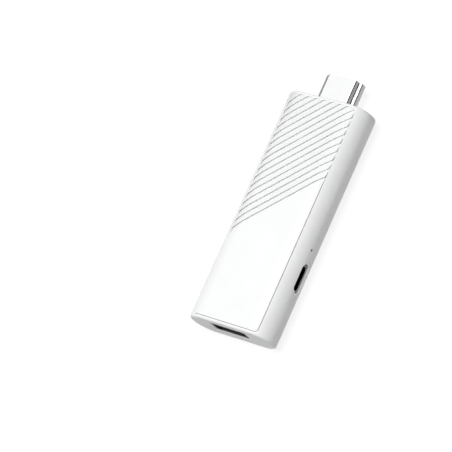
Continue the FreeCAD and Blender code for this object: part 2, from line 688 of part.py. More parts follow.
def base_shell():
    """Deep rear housing: back, rounded sides, both end walls and every port opening."""
    body = new_body("base_shell")
    section = new_sketch(body, "section", "XZ")
    housing_section(section, as_size(0))
    pad(body, section, dim.body_length)
    round_edges(
        body,
        lambda edge: lies_at(edge, "Y", as_size(0)) or lies_at(edge, "Y", dim.body_length),
        dim.end_round,
        "ends",
    )

    cavity = new_sketch(body, "cavity", "XZ", dim.end_wall)
    cavity_section(cavity)
    pocket(body, cavity, dim.body_length - dim.end_wall * 2)

    opening = new_sketch(body, "opening", "XY", LEDGE_TOP)
    rounded_rectangle(
        opening,
        -OPENING_HALF,
        dim.opening_margin,
        OPENING_HALF,
        dim.body_length - dim.opening_margin,
        dim.opening_corner,
    )
    pocket(body, opening, dim.body_depth - LEDGE_TOP + OVER)

    window = new_sketch(body, "window", "XY", CEILING - OVER)
    rounded_rectangle(
        window,
        -WINDOW_HALF,
        WINDOW_LOW,
        WINDOW_HALF,
        dim.body_length - WINDOW_LOW,
        dim.opening_corner,
    )
    pocket(body, window, dim.ledge_plate + OVER * 2)

    plug_hole = new_sketch(body, "plug_hole", "XZ", dim.body_length - dim.end_wall - OVER)
    plug_section(plug_hole, -dim.plug_play)
    pocket(body, plug_hole, dim.end_wall + OVER * 2)

    port_hole = new_sketch(body, "port_hole", "XZ", as_size(-OVER))
    wide = dim.port_width / 2 + dim.sheet + dim.port_play
    tall = dim.port_height / 2 + dim.sheet + dim.port_play
    rounded_rectangle(
        port_hole,
        -wide,
        PORT_LEVEL - tall,
        wide,
        PORT_LEVEL + tall,
        dim.port_corner + dim.port_play,
    )
    pocket(body, port_hole, WINDOW_LOW + OVER * 2)

    power_hole = new_sketch(body, "power_hole", "YZ", HALF - dim.shell_wall - OVER)
    long = dim.power_width / 2 + dim.power_play_end
    tall = dim.power_height / 2 + dim.power_play
    stadium(
        power_hole,
        dim.power_place - long,
        POWER_LEVEL - tall,
        dim.power_place + long,
        POWER_LEVEL + tall,
    )
    pocket(body, power_hole, dim.shell_wall + OVER * 2)

    pinhole = new_sketch(body, "pinhole", "YZ", HALF - dim.shell_wall - OVER)
    circle(pinhole, dim.reset_place, RESET_LEVEL, dim.pinhole_radius)
    pocket(body, pinhole, dim.shell_wall + OVER * 2)

    floor = dim.shell_wall - SEAT
    bosses = new_sketch(body, "bosses", "XY", floor)
    circle(bosses, -BOSS_SIDE, BOSS_LOW, dim.boss_radius)
    circle(bosses, BOSS_SIDE, BOSS_HIGH, dim.boss_radius)
    circle(bosses, BOSS_SIDE, BOSS_LOW, dim.pin_shoulder)
    circle(bosses, -BOSS_SIDE, BOSS_HIGH, dim.pin_shoulder)
    pad(body, bosses, BOARD_UNDER - floor)

    pilots = new_sketch(body, "pilots", "XY", BOARD_UNDER - dim.pilot_depth)
    circle(pilots, -BOSS_SIDE, BOSS_LOW, dim.pilot_radius)
    circle(pilots, BOSS_SIDE, BOSS_HIGH, dim.pilot_radius)
    pocket(body, pilots, dim.pilot_depth + OVER)

    pins = new_sketch(body, "pins", "XY", floor)
    circle(pins, BOSS_SIDE, BOSS_LOW, dim.pin_radius)
    circle(pins, -BOSS_SIDE, BOSS_HIGH, dim.pin_radius)
    pad(body, pins, BOARD_TOP + dim.pin_rise - floor)

    rest = new_sketch(body, "rest", "XZ", BOARD_LOW + dim.rest_inset)
    root_side = HALF - dim.shell_wall + SEAT
    on_both_sides(rest, [
        (root_side, BOARD_UNDER),
        (root_side, BOARD_UNDER - dim.rest_depth),
        (root_side - dim.rest_reach, BOARD_UNDER),
    ])
    gussets = pad(body, rest, dim.rest_width)
    span = BOARD_HIGH - BOARD_LOW - dim.rest_inset * 2 - dim.rest_width
    row(body, [gussets], "Y", span / (dim.rest_count - 1), dim.rest_count)

    vent = new_sketch(body, "vent", "XY", as_size(-OVER))
    first = -dim.vent_pitch * (dim.vent_count - 1) / 2
    vent_slot(vent, first, DIE_PLACE)
    slot = pocket(body, vent, dim.shell_wall + OVER * 2)
    row(body, [slot], "X", dim.vent_pitch, dim.vent_count)
    return body


def vent_slot(sketch, x, y):
    """Draw one vent slot, long way along the stick, about a place."""
    radius = dim.vent_width / 2
    low = y - dim.vent_length / 2
    high = y + dim.vent_length / 2
    outline(sketch, [
        (x - radius, low + radius),
        (x - radius, high - radius, radius),
        (x, high, radius),
        (x + radius, high - radius),
        (x + radius, low + radius, radius),
        (x, low, radius),
    ])


def rolled_top(half, level, stretch):
    """Corners of a piece of front face: flat, with the housing's roll at both sides.

    Stretch is 1 for a cut straight across the stick.  A cut at 45 degrees is longer by root two,
    and its roll then has the radius that the stretched circle has where it leaves the flat.
    """
    flat = (HALF - dim.front_roll) * stretch
    reach = half * stretch
    radius = dim.front_roll * stretch * stretch
    run = reach - flat
    edge = level - radius + root(radius * radius - run * run)
    return [
        (-reach, edge, radius),
        (-flat, level),
        (flat, level, radius),
        (reach, edge),
    ]


def diagonal_sketch(body, name, crossing, level, floor):
    """A slice of the cover on an upright plane at 45 degrees that crosses the middle line."""
    sketch = body.newObject("Sketcher::SketchObject", f"{body.Name}_{name}")
    sketch.AttachmentSupport = [(origin_feature(body, "XZ_Plane"), "")]
    sketch.MapMode = "FlatFace"
    turn = FreeCAD.Rotation(FreeCAD.Vector(0, 1, 0), 45)
    sketch.AttachmentOffset = FreeCAD.Placement(FreeCAD.Vector(0, 0, 0), turn)
    sketch.setExpression("AttachmentOffset.Base.z", (-crossing).text)
    stretch = root(as_size(2))
    top = rolled_top(COVER_HALF + SEAT * 1.5, level, stretch)
    # leaning sides, so that neighbouring slices have no face in common
    foot = top[-1][0] - SEAT / 2
    outline(sketch, top + [(foot, floor), (-foot, floor)])
    return sketch


def cover_outline(sketch):
    """Draw the cover's edge: its seam is wider at the socket end and on the plain part's right."""
    low_corner = dim.opening_corner - dim.cover_gap
    high_corner = dim.opening_corner - dim.tight_gap
    step = FIRST_RIB + TIGHT_HALF
    outline(sketch, [
        (-TIGHT_HALF, TIGHT_HIGH - high_corner, high_corner),
        (-TIGHT_HALF + high_corner, TIGHT_HIGH),
        (TIGHT_HALF - high_corner, TIGHT_HIGH, high_corner),
        (TIGHT_HALF, TIGHT_HIGH - high_corner),
        (TIGHT_HALF, step),
        (COVER_HALF, step),
        (COVER_HALF, COVER_LOW + low_corner, low_corner),
        (COVER_HALF - low_corner, COVER_LOW),
        (-TIGHT_HALF + low_corner, COVER_LOW, low_corner),
        (-TIGHT_HALF, COVER_LOW + low_corner),
    ])


def top_cover():
    """Front cover: rolled edges, diagonal shingled ribs, hollow underside and snap hooks."""
    body = new_body("top_cover")
    half_step = dim.rib_step / 2
    over = COVER_HALF + SEAT

    core = new_sketch(body, "core", "XZ", COVER_LOW - SEAT)
    outline(core, rolled_top(over, dim.body_depth - half_step, as_size(1)) + [
        (over, LEDGE_TOP),
        (-over, LEDGE_TOP),
    ])
    pad(body, core, COVER_HIGH - COVER_LOW + SEAT * 2)

    # the plain part of the face, then a short slope down to the foot of the first rib
    floor = COVER_UNDER + dim.rib_step / 4
    before = diagonal_sketch(body, "plain", FIRST_RIB - dim.rib_lead, dim.body_depth, floor)
    slanted_pad(body, before, "plain_face", 0, -(FIRST_RIB + over), 0)
    lead = dim.rib_lead + dim.rib_lap
    slanted_pad(body, before, "lead_in", 0, lead, -half_step * lead / dim.rib_lead)

    # each rib steps up at its lower edge and slopes down, in under the foot of the next one,
    # with its underside buried in the core; every second rib belongs to the same row
    run = dim.rib_pitch + dim.rib_lap
    drop = dim.rib_step * run / dim.rib_pitch
    crest = dim.body_depth + half_step
    underside = LEDGE_TOP + drop + dim.rib_step / 4
    for name, start in (("odd", FIRST_RIB), ("even", FIRST_RIB + dim.rib_pitch)):
        sketch = diagonal_sketch(body, f"{name}_rib", start, crest, underside)
        rib = slanted_pad(body, sketch, f"{name}_face", 0, run, -drop)
        row(body, [rib], "Y", dim.rib_pitch * 2, dim.rib_count / 2)

    trim = new_sketch(body, "trim", "XY", LEDGE_TOP - OVER)
    far = dim.body_length + dim.body_width
    rectangle(trim, -far, -far, far, far * 2)
    cover_outline(trim)
    pocket(body, trim, dim.body_depth - LEDGE_TOP + OVER * 3)

    hollow = new_sketch(body, "hollow", "XY", LEDGE_TOP - OVER)
    rounded_rectangle(
        hollow,
        -(COVER_HALF - dim.recess_side),
        COVER_LOW + dim.recess_end,
        COVER_HALF - dim.recess_side,
        COVER_HIGH - dim.recess_end,
        dim.opening_corner,
    )
    pocket(body, hollow, COVER_UNDER - LEDGE_TOP + OVER)

    hook = new_sketch(body, "hook", "XZ", COVER_LOW + dim.hook_inset)
    outer = HOOK_OUTER
    inner = HOOK_INNER
    catch = CEILING - dim.hook_play
    on_both_sides(hook, [
        (inner, LEDGE_TOP + SEAT),
        (outer, LEDGE_TOP + SEAT),
        (outer, catch),
        (outer + dim.hook_nose, catch),
        (outer + dim.hook_nose, catch - dim.hook_land),
        (outer, catch - dim.hook_drop),
        (inner, catch - dim.hook_drop),
    ])
    snaps = pad(body, hook, dim.hook_width)
    span = COVER_HIGH - COVER_LOW - dim.hook_inset * 2 - dim.hook_width
    row(body, [snaps], "Y", span / (dim.hook_count - 1), dim.hook_count)
    return body


def main_board():
    """Circuit board: notches for both end connectors, screw and pin holes, slots for the tabs."""
    body = new_body("main_board")
    plate = new_sketch(body, "plate", "XY", BOARD_UNDER)
    rounded_rectangle(plate, -BOARD_HALF, BOARD_LOW, BOARD_HALF, BOARD_HIGH, dim.board_corner)
    pad(body, plate, dim.board_plate)

    under = BOARD_UNDER - OVER
    through = dim.board_plate + OVER * 2

    port_notch = new_sketch(body, "port_notch", "XY", under)
    wide = dim.port_width / 2 + dim.sheet + dim.notch_play
    rectangle(port_notch, -wide, BOARD_LOW - OVER, wide, PORT_NOTCH)
    pocket(body, port_notch, through)

    plug_notch = new_sketch(body, "plug_notch", "XY", under)
    wide = dim.plug_width / 2 + dim.notch_play
    rectangle(plug_notch, -wide, PLUG_NOTCH, wide, BOARD_HIGH + OVER)
    pocket(body, plug_notch, through)

    holes = new_sketch(body, "holes", "XY", under)
    screw = dim.screw_radius + dim.hole_play
    pin = dim.pin_radius + dim.hole_play
    circle(holes, -BOSS_SIDE, BOSS_LOW, screw)
    circle(holes, BOSS_SIDE, BOSS_HIGH, screw)
    circle(holes, BOSS_SIDE, BOSS_LOW, pin)
    circle(holes, -BOSS_SIDE, BOSS_HIGH, pin)
    pocket(body, holes, through)

    slots = new_sketch(body, "slots", "XY", under)
    play = dim.hole_play
    for side, along in connector_tabs():
        for sign in (-1, 1):
            outer = side + play
            inner = side - dim.sheet - play
            rectangle(
                slots,
                sign * (inner if sign > 0 else outer),
                along - play,
                sign * (outer if sign > 0 else inner),
                along + dim.tab_width + play,
            )
    pocket(body, slots, through)

    legs = new_sketch(body, "power_slots", "XY", under)
    for side in power_legs():
        for along in power_tab_places():
            rectangle(
                legs,
                along - play,
                side - play,
                along + dim.tab_width + play,
                side + dim.power_sheet + play,
            )
    pocket(body, legs, through)
    return body


def connector_tabs():
    """Outer face and near edge of each pair of tabs on the two end connectors."""
    port_side = dim.port_width / 2 + dim.sheet + dim.tab_reach
    plug_side = dim.plug_width / 2 + dim.tab_reach
    return [
        (port_side, dim.port_tab_near),
        (port_side, dim.port_tab_far),
        (plug_side, PLUG_REAR + dim.plug_tab),
    ]


def power_tab_places():
    """Near edges, across the stick, of the power socket's two pairs of legs."""
    return [POWER_REAR + dim.power_leg_near, POWER_REAR + dim.power_leg_far]


def power_legs():
    """Near faces, along the stick, of the power socket's legs."""
    reach = dim.power_width / 2
    return [dim.power_place - reach, dim.power_place + reach - dim.power_sheet]


def add_tabs(body, pairs, wall):
    """Bent tabs that rest on the board and put a leg through it, on both sides."""
    for number, (side, along) in enumerate(pairs):
        sketch = new_sketch(body, f"tab_{number}", "XZ", along)
        top = BOARD_TOP + dim.sheet
        on_both_sides(sketch, [
            (side - dim.tab_reach - wall, top),
            (side, top),
            (side, BOARD_TOP - dim.tab_leg),
            (side - dim.sheet, BOARD_TOP - dim.tab_leg),
            (side - dim.sheet, BOARD_TOP),
            (side - dim.tab_reach - wall, BOARD_TOP),
        ])
        pad(body, sketch, dim.tab_width)


def hdmi_plug_shell():
    """Formed metal shell of the plug, with latch windows and board tabs."""
    body = new_body("hdmi_plug_shell")
    section = new_sketch(body, "section", "XZ", PLUG_REAR)
    plug_section(section, as_size(0))
    pad(body, section, PLUG_TIP - PLUG_REAR)
    round_plug(body, "outer", as_size(0), dim.bend, dim.bend - dim.sheet)
    inside = new_sketch(body, "inside", "XZ", PLUG_REAR - OVER)
    plug_section(inside, dim.sheet)
    pocket(body, inside, PLUG_TIP - PLUG_REAR + OVER * 2)
    round_plug(body, "inner", dim.sheet, dim.bend - dim.sheet, dim.bend)

    latch = new_sketch(body, "latch", "XY", PLUG_LEVEL - dim.plug_height / 2 - OVER)
    near = PLUG_TIP - dim.latch_back - dim.latch_length
    for side in (-dim.latch_side, dim.latch_side):
        rectangle(
            latch,
            side - dim.latch_width / 2,
            near,
            side + dim.latch_width / 2,
            near + dim.latch_length,
        )
    pocket(body, latch, dim.sheet + OVER)
    add_tabs(body, connector_tabs()[2:], dim.sheet / 2)
    return body


def round_plug(body, name, inset, bend, hollow):
    """Round the plug's long edges, drawn at an inset: its bends, and the hollow ones by the shoulders."""
    flat_edge, hollow_edge, side_edge, back_edge = plug_corners(inset)
    bends = [flat_edge, side_edge, back_edge]
    round_edges(body, lambda edge: is_at(edge, bends), bend, f"{name}_bends")
    round_edges(body, lambda edge: is_at(edge, [hollow_edge]), hollow, f"{name}_hollows")


def is_at(edge, corners):
    """True for an edge along the plug at one of these corners, on either side."""
    if not runs_along(edge, "Y"):
        return False
    for x, z in corners:
        if abs(abs(edge.BoundBox.XMax) - x.number) < NEAR and abs(edge.BoundBox.ZMax - z.number) < NEAR:
            return True
    return False


def strip_levels():
    """Heights of the plug's two contact rows: the undersides of their strips."""
    front = PLUG_LEVEL + dim.slit_height / 2 - dim.strip_plate
    back = PLUG_LEVEL - dim.slit_height / 2
    return front, back


def hdmi_plug_insulator():
    """Contact block of the plug: fills its shell, with a slit and a slot for each row of strips."""
    body = new_body("hdmi_plug_insulator")
    section = new_sketch(body, "section", "XZ", PLUG_REAR)
    plug_section(section, dim.sheet + dim.block_play)
    pad(body, section, PLUG_TIP - dim.block_recess - PLUG_REAR)
    inset = dim.sheet + dim.block_play
    round_plug(body, "outer", inset, dim.bend - inset, dim.bend + dim.block_play)

    slit = new_sketch(body, "slit", "XZ", PLUG_TIP - dim.block_recess - dim.slit_depth)
    half = dim.slit_width / 2
    rectangle(
        slit,
        -half,
        PLUG_LEVEL - dim.slit_height / 2,
        half,
        PLUG_LEVEL + dim.slit_height / 2,
    )
    pocket(body, slit, dim.slit_depth + OVER)

    front, back = strip_levels()
    play = dim.channel_play
    rows = (("front", front, dim.front_strips), ("back", back, dim.back_strips))
    for name, level, count in rows:
        slot = new_sketch(body, f"{name}_slot", "XZ", PLUG_REAR - OVER)
        reach = (dim.strip_pitch * (count - 1) + dim.strip_width) / 2 + play
        rectangle(slot, -reach, level - play, reach, level + dim.strip_plate + play)
        pocket(body, slot, PLUG_TIP - dim.strip_recess - PLUG_REAR + OVER + play)
    return body


def hdmi_contacts():
    """Nineteen strips: along the slit, through the block, and up or down to feet on the board."""
    body = new_body("hdmi_contacts", separate=True)
    front, back = strip_levels()
    plate = dim.strip_plate
    tip = PLUG_TIP - dim.strip_recess
    over_board = PLUG_NOTCH - dim.notch_play
    before_board = PLUG_REAR - (dim.strip_room - plate) / 2
    rows = (
        ("front", front, dim.front_strips, over_board - plate, over_board),
        ("back", back, dim.back_strips, before_board, before_board - plate),
    )
    for name, level, count, upper, lower in rows:
        first = -dim.strip_pitch * (count - 1) / 2
        strip = new_sketch(body, f"{name}_strip", "YZ", first - dim.strip_width / 2)
        outline(strip, [
            (tip, level),
            (tip, level + plate),
            (upper, level + plate),
            (upper, BOARD_TOP + plate),
            (PLUG_FEET, BOARD_TOP + plate),
            (PLUG_FEET, BOARD_TOP),
            (lower, BOARD_TOP),
            (lower, level),
        ])
        blade = pad(body, strip, dim.strip_width)
        row(body, [blade], "X", dim.strip_pitch, count)
    return body


def usb_a_shell():
    """Folded metal shell of the socket, with spring fingers and board tabs."""
    body = new_body("usb_a_shell")
    wide = dim.port_width / 2 + dim.sheet
    tall = dim.port_height / 2 + dim.sheet
    low = PORT_LEVEL - tall
    high = PORT_LEVEL + tall
    section = new_sketch(body, "section", "XZ", dim.port_recess)
    rounded_rectangle(section, -wide, low, wide, high, dim.port_corner)
    pad(body, section, dim.port_depth)
    inside = new_sketch(body, "inside", "XZ", dim.port_recess - OVER)
    rounded_rectangle(
        inside,
        -(wide - dim.sheet),
        low + dim.sheet,
        wide - dim.sheet,
        high - dim.sheet,
        dim.port_corner - dim.sheet,
    )
    pocket(body, inside, dim.port_depth + OVER * 2)

    # a slit around three sides leaves a finger that springs against the plug
    springs = new_sketch(body, "springs", "XY", high - dim.sheet - OVER)
    near = WINDOW_LOW + dim.spring_gap
    far = near + dim.spring_length
    for side in (-dim.spring_side, dim.spring_side):
        half = dim.spring_width / 2
        outline(springs, [
            (side - half - dim.spring_gap, near),
            (side + half + dim.spring_gap, near),
            (side + half + dim.spring_gap, far),
            (side + half, far),
            (side + half, near + dim.spring_gap),
            (side - half, near + dim.spring_gap),
            (side - half, far),
            (side - half - dim.spring_gap, far),
        ])
    pocket(body, springs, dim.sheet + OVER * 2)
    add_tabs(body, connector_tabs()[:2], dim.sheet / 2)
    return body


def port_tongue_top():
    """Height of the socket tongue's contact face."""
    return PORT_LEVEL - dim.port_height / 2 + dim.tongue_rise + dim.tongue_plate


def usb_a_tongue():
    """Plastic tongue of the socket and the rear block that closes its shell."""
    body = new_body("usb_a_tongue")
    wide = dim.port_width / 2 - dim.block_play
    tall = dim.port_height / 2 - dim.block_play
    rear = new_sketch(body, "rear_block", "XZ", PORT_REAR - dim.port_block)
    rounded_rectangle(
        rear,
        -wide,
        PORT_LEVEL - tall,
        wide,
        PORT_LEVEL + tall,
        dim.port_corner - dim.sheet,
    )
    pad(body, rear, dim.port_block)
    tongue = new_sketch(body, "tongue", "XZ", dim.port_recess + dim.tongue_recess)
    half = dim.tongue_width / 2
    top = port_tongue_top()
    rectangle(tongue, -half, top - dim.tongue_plate, half, top)
    pad(body, tongue, dim.port_depth - dim.tongue_recess - dim.port_block + SEAT)

    channels = new_sketch(body, "channels", "XZ", PORT_REAR - dim.port_block - SEAT)
    play = dim.channel_play
    for side in blade_places():
        rectangle(
            channels,
            side - dim.blade_width / 2 - play,
            top,
            side + dim.blade_width / 2 + play,
            top + dim.blade_plate + play,
        )
    pocket(body, channels, dim.port_block + OVER)
    return body


def blade_places():
    """The four contacts across the socket: the outer pair wider apart than the inner pair."""
    return [-dim.blade_outer, -dim.blade_inner, dim.blade_inner, dim.blade_outer]


def usb_a_contacts():
    """Four contact blades along the tongue, down behind the block to feet on the board."""
    body = new_body("usb_a_contacts", separate=True)
    top = port_tongue_top()
    plate = dim.blade_plate
    near = dim.port_recess + dim.tongue_recess * 2
    bend = PORT_NOTCH
    for number, side in enumerate(blade_places()):
        sketch = new_sketch(body, f"blade_{number}", "YZ", side - dim.blade_width / 2)
        outline(sketch, [
            (near, top),
            (near, top + plate),
            (bend + plate, top + plate),
            (bend + plate, BOARD_TOP + plate),
            (PORT_FEET, BOARD_TOP + plate),
            (PORT_FEET, BOARD_TOP),
            (bend, BOARD_TOP),
            (bend, top),
        ])
        pad(body, sketch, dim.blade_width)
    return body


def power_section(sketch, inset):
    """The power socket's rounded outline, inside its outer face by an inset."""
    long = dim.power_width / 2 - inset
    tall = dim.power_height / 2 - inset
    stadium(
        sketch,
        dim.power_place - long,
        POWER_LEVEL - tall,
        dim.power_place + long,
        POWER_LEVEL + tall,
    )


def usb_c_shell():
    """Formed metal shell of the power socket, with four legs through the board."""
    body = new_body("usb_c_shell")
    section = new_sketch(body, "section", "YZ", POWER_REAR)
    power_section(section, as_size(0))
    pad(body, section, dim.power_depth)
    inside = new_sketch(body, "inside", "YZ", POWER_REAR - OVER)
    power_section(inside, dim.power_sheet)
    pocket(body, inside, dim.power_depth + OVER * 2)
    for number, side in enumerate(power_legs()):
        legs = new_sketch(body, f"legs_{number}", "XZ", side)
        for along in power_tab_places():
            rectangle(
                legs,
                along,
                BOARD_TOP - dim.tab_leg,
                along + dim.tab_width,
                POWER_LEVEL,
            )
        pad(body, legs, dim.power_sheet)
    return body


def usb_c_tongue():
    """Plastic tongue of the power socket and the rear block that holds it."""
    body = new_body("usb_c_tongue")
    block = new_sketch(body, "rear_block", "YZ", POWER_REAR)
    power_section(block, dim.power_sheet + dim.block_play)
    pad(body, block, dim.power_block)
    tongue = new_sketch(body, "tongue", "YZ", POWER_REAR + dim.power_block - SEAT)
    half = dim.power_tongue_width / 2
    thick = dim.power_tongue_plate / 2
    rectangle(
        tongue,
        dim.power_place - half,
        POWER_LEVEL - thick,
        dim.power_place + half,
        POWER_LEVEL + thick,
    )
    pad(body, tongue, dim.power_depth - dim.power_block + SEAT - dim.power_tongue_recess)
    # one wide slot through the block for each row of contacts
    play = dim.channel_play
    slots = new_sketch(body, "slots", "YZ", POWER_REAR - OVER)
    reach = (dim.pad_pitch * (dim.pad_count - 1) + dim.pad_width) / 2 + play
    for name, level in pad_levels():
        rectangle(
            slots,
            dim.power_place - reach,
            level if name == "front" else level - play,
            dim.power_place + reach,
            level + dim.pad_plate + (play if name == "front" else 0),
        )
    pocket(body, slots, dim.power_block + OVER)
    return body


def pad_levels():
    """The undersides of the power socket's two contact rows."""
    thick = dim.power_tongue_plate / 2
    return [("front", POWER_LEVEL + thick), ("back", POWER_LEVEL - thick - dim.pad_plate)]


def usb_c_contacts():
    """Contacts on both faces of the tongue, through the block and down to the board."""
    body = new_body("usb_c_contacts", separate=True)
    first = dim.power_place - dim.pad_pitch * (dim.pad_count - 1) / 2
    plate = dim.pad_plate
    tip = POWER_MOUTH - dim.power_tongue_recess * 2
    bends = {"front": POWER_REAR - dim.power_foot_far, "back": POWER_REAR - dim.power_foot_near}
    for name, level in pad_levels():
        bend = bends[name]
        foot = bend - dim.power_foot
        sketch = new_sketch(body, f"{name}_strip", "XZ", first - dim.pad_width / 2)
        outline(sketch, [
            (tip, level),
            (tip, level + plate),
            (bend - plate, level + plate),
            (bend - plate, BOARD_TOP + plate),
            (foot, BOARD_TOP + plate),
            (foot, BOARD_TOP),
            (bend, BOARD_TOP),
            (bend, level),
        ])
        blade = pad(body, sketch, dim.pad_width)
        row(body, [blade], "Y", dim.pad_pitch, dim.pad_count)
    return body


def reset_switch_base():
    """Moulded body of the reset switch, with a round well that opens towards the pinhole."""
    body = new_body("reset_switch_base")
    block = new_sketch(body, "block", "YZ", SWITCH_BACK)
    half = dim.switch_width / 2
    rectangle(
        block,
        dim.reset_place - half,
        BOARD_TOP,
        dim.reset_place + half,
        BOARD_TOP + dim.switch_height,
    )
    pad(body, block, dim.switch_depth)
    well = new_sketch(body, "well", "YZ", WELL_FLOOR)
    circle(well, dim.reset_place, RESET_LEVEL, dim.well_radius)
    pocket(body, well, dim.well_depth + OVER)
    return body


def reset_switch_frame():
    """Bent metal cover: a plate over the well with a hole for the button, and two side wings."""
    body = new_body("reset_switch_frame")
    half = dim.switch_width / 2
    sheet = dim.switch_sheet
    face = new_sketch(body, "face", "XY", BOARD_TOP)
    outline(face, [
        (SWITCH_BACK, dim.reset_place + half),
        (SWITCH_BACK, dim.reset_place + half + sheet),
        (SWITCH_FACE + sheet, dim.reset_place + half + sheet),
        (SWITCH_FACE + sheet, dim.reset_place - half - sheet),
        (SWITCH_BACK, dim.reset_place - half - sheet),
        (SWITCH_BACK, dim.reset_place - half),
        (SWITCH_FACE, dim.reset_place - half),
        (SWITCH_FACE, dim.reset_place + half),
    ])
    pad(body, face, dim.switch_height)
    hole = new_sketch(body, "hole", "YZ", SWITCH_FACE - OVER)
    circle(hole, dim.reset_place, RESET_LEVEL, dim.button_radius + dim.running_gap)
    pocket(body, hole, sheet + OVER * 2)
    return body


def turned_about_button(body, name, corners):
    """Turn a profile, given along X and away from the button's axis, about that axis."""
    sketch = body.newObject("Sketcher::SketchObject", f"{body.Name}_{name}")
    sketch.AttachmentSupport = [(origin_feature(body, "XY_Plane"), "")]
    sketch.MapMode = "FlatFace"
    sketch.setExpression("AttachmentOffset.Base.y", dim.reset_place.text)
    sketch.setExpression("AttachmentOffset.Base.z", RESET_LEVEL.text)
    outline(sketch, corners)
    feature = body.newObject("PartDesign::Revolution", f"{body.Name}_{name}_turn")
    feature.Profile = sketch
    feature.ReferenceAxis = (sketch, ["H_Axis"])
    feature.Angle = 360
    body.Tip = feature
    return feature


def reset_switch_plunger():
    """The button that a pin pushes through the pinhole: stem, collar and nib in one."""
    body = new_body("reset_switch_plunger")
    nib = dim.nib_radius
    collar_back = COLLAR_FACE - dim.collar_plate
    nib_end = WELL_FLOOR + dim.dome_rise + dim.button_travel + dim.running_gap / 2
    bevel = dim.tip_bevel
    turned_about_button(body, "profile", [
        (nib_end, 0),
        (nib_end, nib),
        (collar_back, nib),
        (collar_back, dim.collar_radius),
        (COLLAR_FACE, dim.collar_radius),
        (COLLAR_FACE, dim.button_radius),
        (BUTTON_TIP - bevel, dim.button_radius),
        (BUTTON_TIP, dim.button_radius - bevel),
        (BUTTON_TIP, 0),
    ])
    return body


def reset_switch_dome():
    """Snap dome: a thin sprung cap with a flat crown, whose rim stands on the floor of the well."""
    body = new_body("reset_switch_dome")
    inside = WELL_FLOOR + dim.dome_rise - dim.dome_plate
    turned_about_button(body, "profile", [
        (inside, 0),
        (WELL_FLOOR + dim.dome_rise, 0),
        (WELL_FLOOR + dim.dome_rise, dim.dome_crown),
        (WELL_FLOOR, dim.dome_radius + dim.dome_plate),
        (WELL_FLOOR, dim.dome_radius),
        (inside, dim.dome_crown),
    ])
    return body


def chip(name, x, y, z, size):
    """A flat package: body with a narrower top, and a dimple that marks its first contact."""
    wide, long, high = size
    body = new_body(name)
    lower = new_sketch(body, "lower", "XY", z)
    rectangle(lower, x - wide / 2, y - long / 2, x + wide / 2, y + long / 2)
    pad(body, lower, dim.package_foot)
    upper = new_sketch(body, "upper", "XY", z + dim.package_foot / 2)
    edge = dim.package_edge
    rectangle(
        upper,
        x - wide / 2 + edge,
        y - long / 2 + edge,
        x + wide / 2 - edge,
        y + long / 2 - edge,
    )
    pad(body, upper, high - dim.package_foot / 2)
    mark = new_sketch(body, "mark", "XY", z + high - dim.mark_depth)
    inset = dim.mark_inset
    circle(mark, x - wide / 2 + inset, y + long / 2 - inset, dim.mark_radius)
    pocket(body, mark, dim.mark_depth + OVER)
    return body


def row_of_boxes(name, x, y, z, size, axis, pitch, count):
    """A group of like blocks in a row, as one node of separate solids."""
    wide, long, high = size
    body = new_body(name, separate=True)
    sketch = new_sketch(body, "block", "XY", z)
    rectangle(sketch, x - wide / 2, y - long / 2, x + wide / 2, y + long / 2)
    block = pad(body, sketch, high)
    row(body, [block], axis, pitch, count)
    return body


def heat_sink():
    """Aluminium block with straight fins along the stick."""
    body = new_body("heat_sink")
    plate = new_sketch(body, "plate", "XY", SINK_LEVEL)
    half = HOOK_INNER - dim.sink_side
    low = DIE_PLACE - dim.sink_length / 2
    high = DIE_PLACE + dim.sink_length / 2
    rectangle(plate, -half, low, half, high)
    height = COVER_UNDER - dim.sink_gap - SINK_LEVEL
    pad(body, plate, height)
    channel = new_sketch(body, "channel", "XY", SINK_LEVEL + dim.sink_base)
    pitch = (half * 2 - dim.fin_plate) / dim.fin_gaps
    edge = -half + dim.fin_plate
    rectangle(channel, edge, low - OVER, edge + pitch - dim.fin_plate, high + OVER)
    cut = pocket(body, channel, height)
    row(body, [cut], "X", pitch, dim.fin_gaps)
    return body


def wireless_shield():
    """Drawn metal can over the wireless module, open underneath."""
    body = new_body("wireless_shield")
    base = BOARD_TOP + dim.radio_plate
    for name, inset, level, height, make in (
        ("outside", as_size(0), base, dim.shield_height, pad),
        ("inside", dim.shield_sheet, base - OVER, dim.shield_height - dim.shield_sheet + OVER, pocket),
    ):
        half = dim.radio_width / 2 - dim.shield_margin - inset
        long = dim.radio_length / 2 - dim.shield_margin - inset
        sketch = new_sketch(body, name, "XY", level)
        rectangle(
            sketch,
            -half,
            RADIO_PLACE - long,
            half,
            RADIO_PLACE + long,
        )
        make(body, sketch, height)
    return body


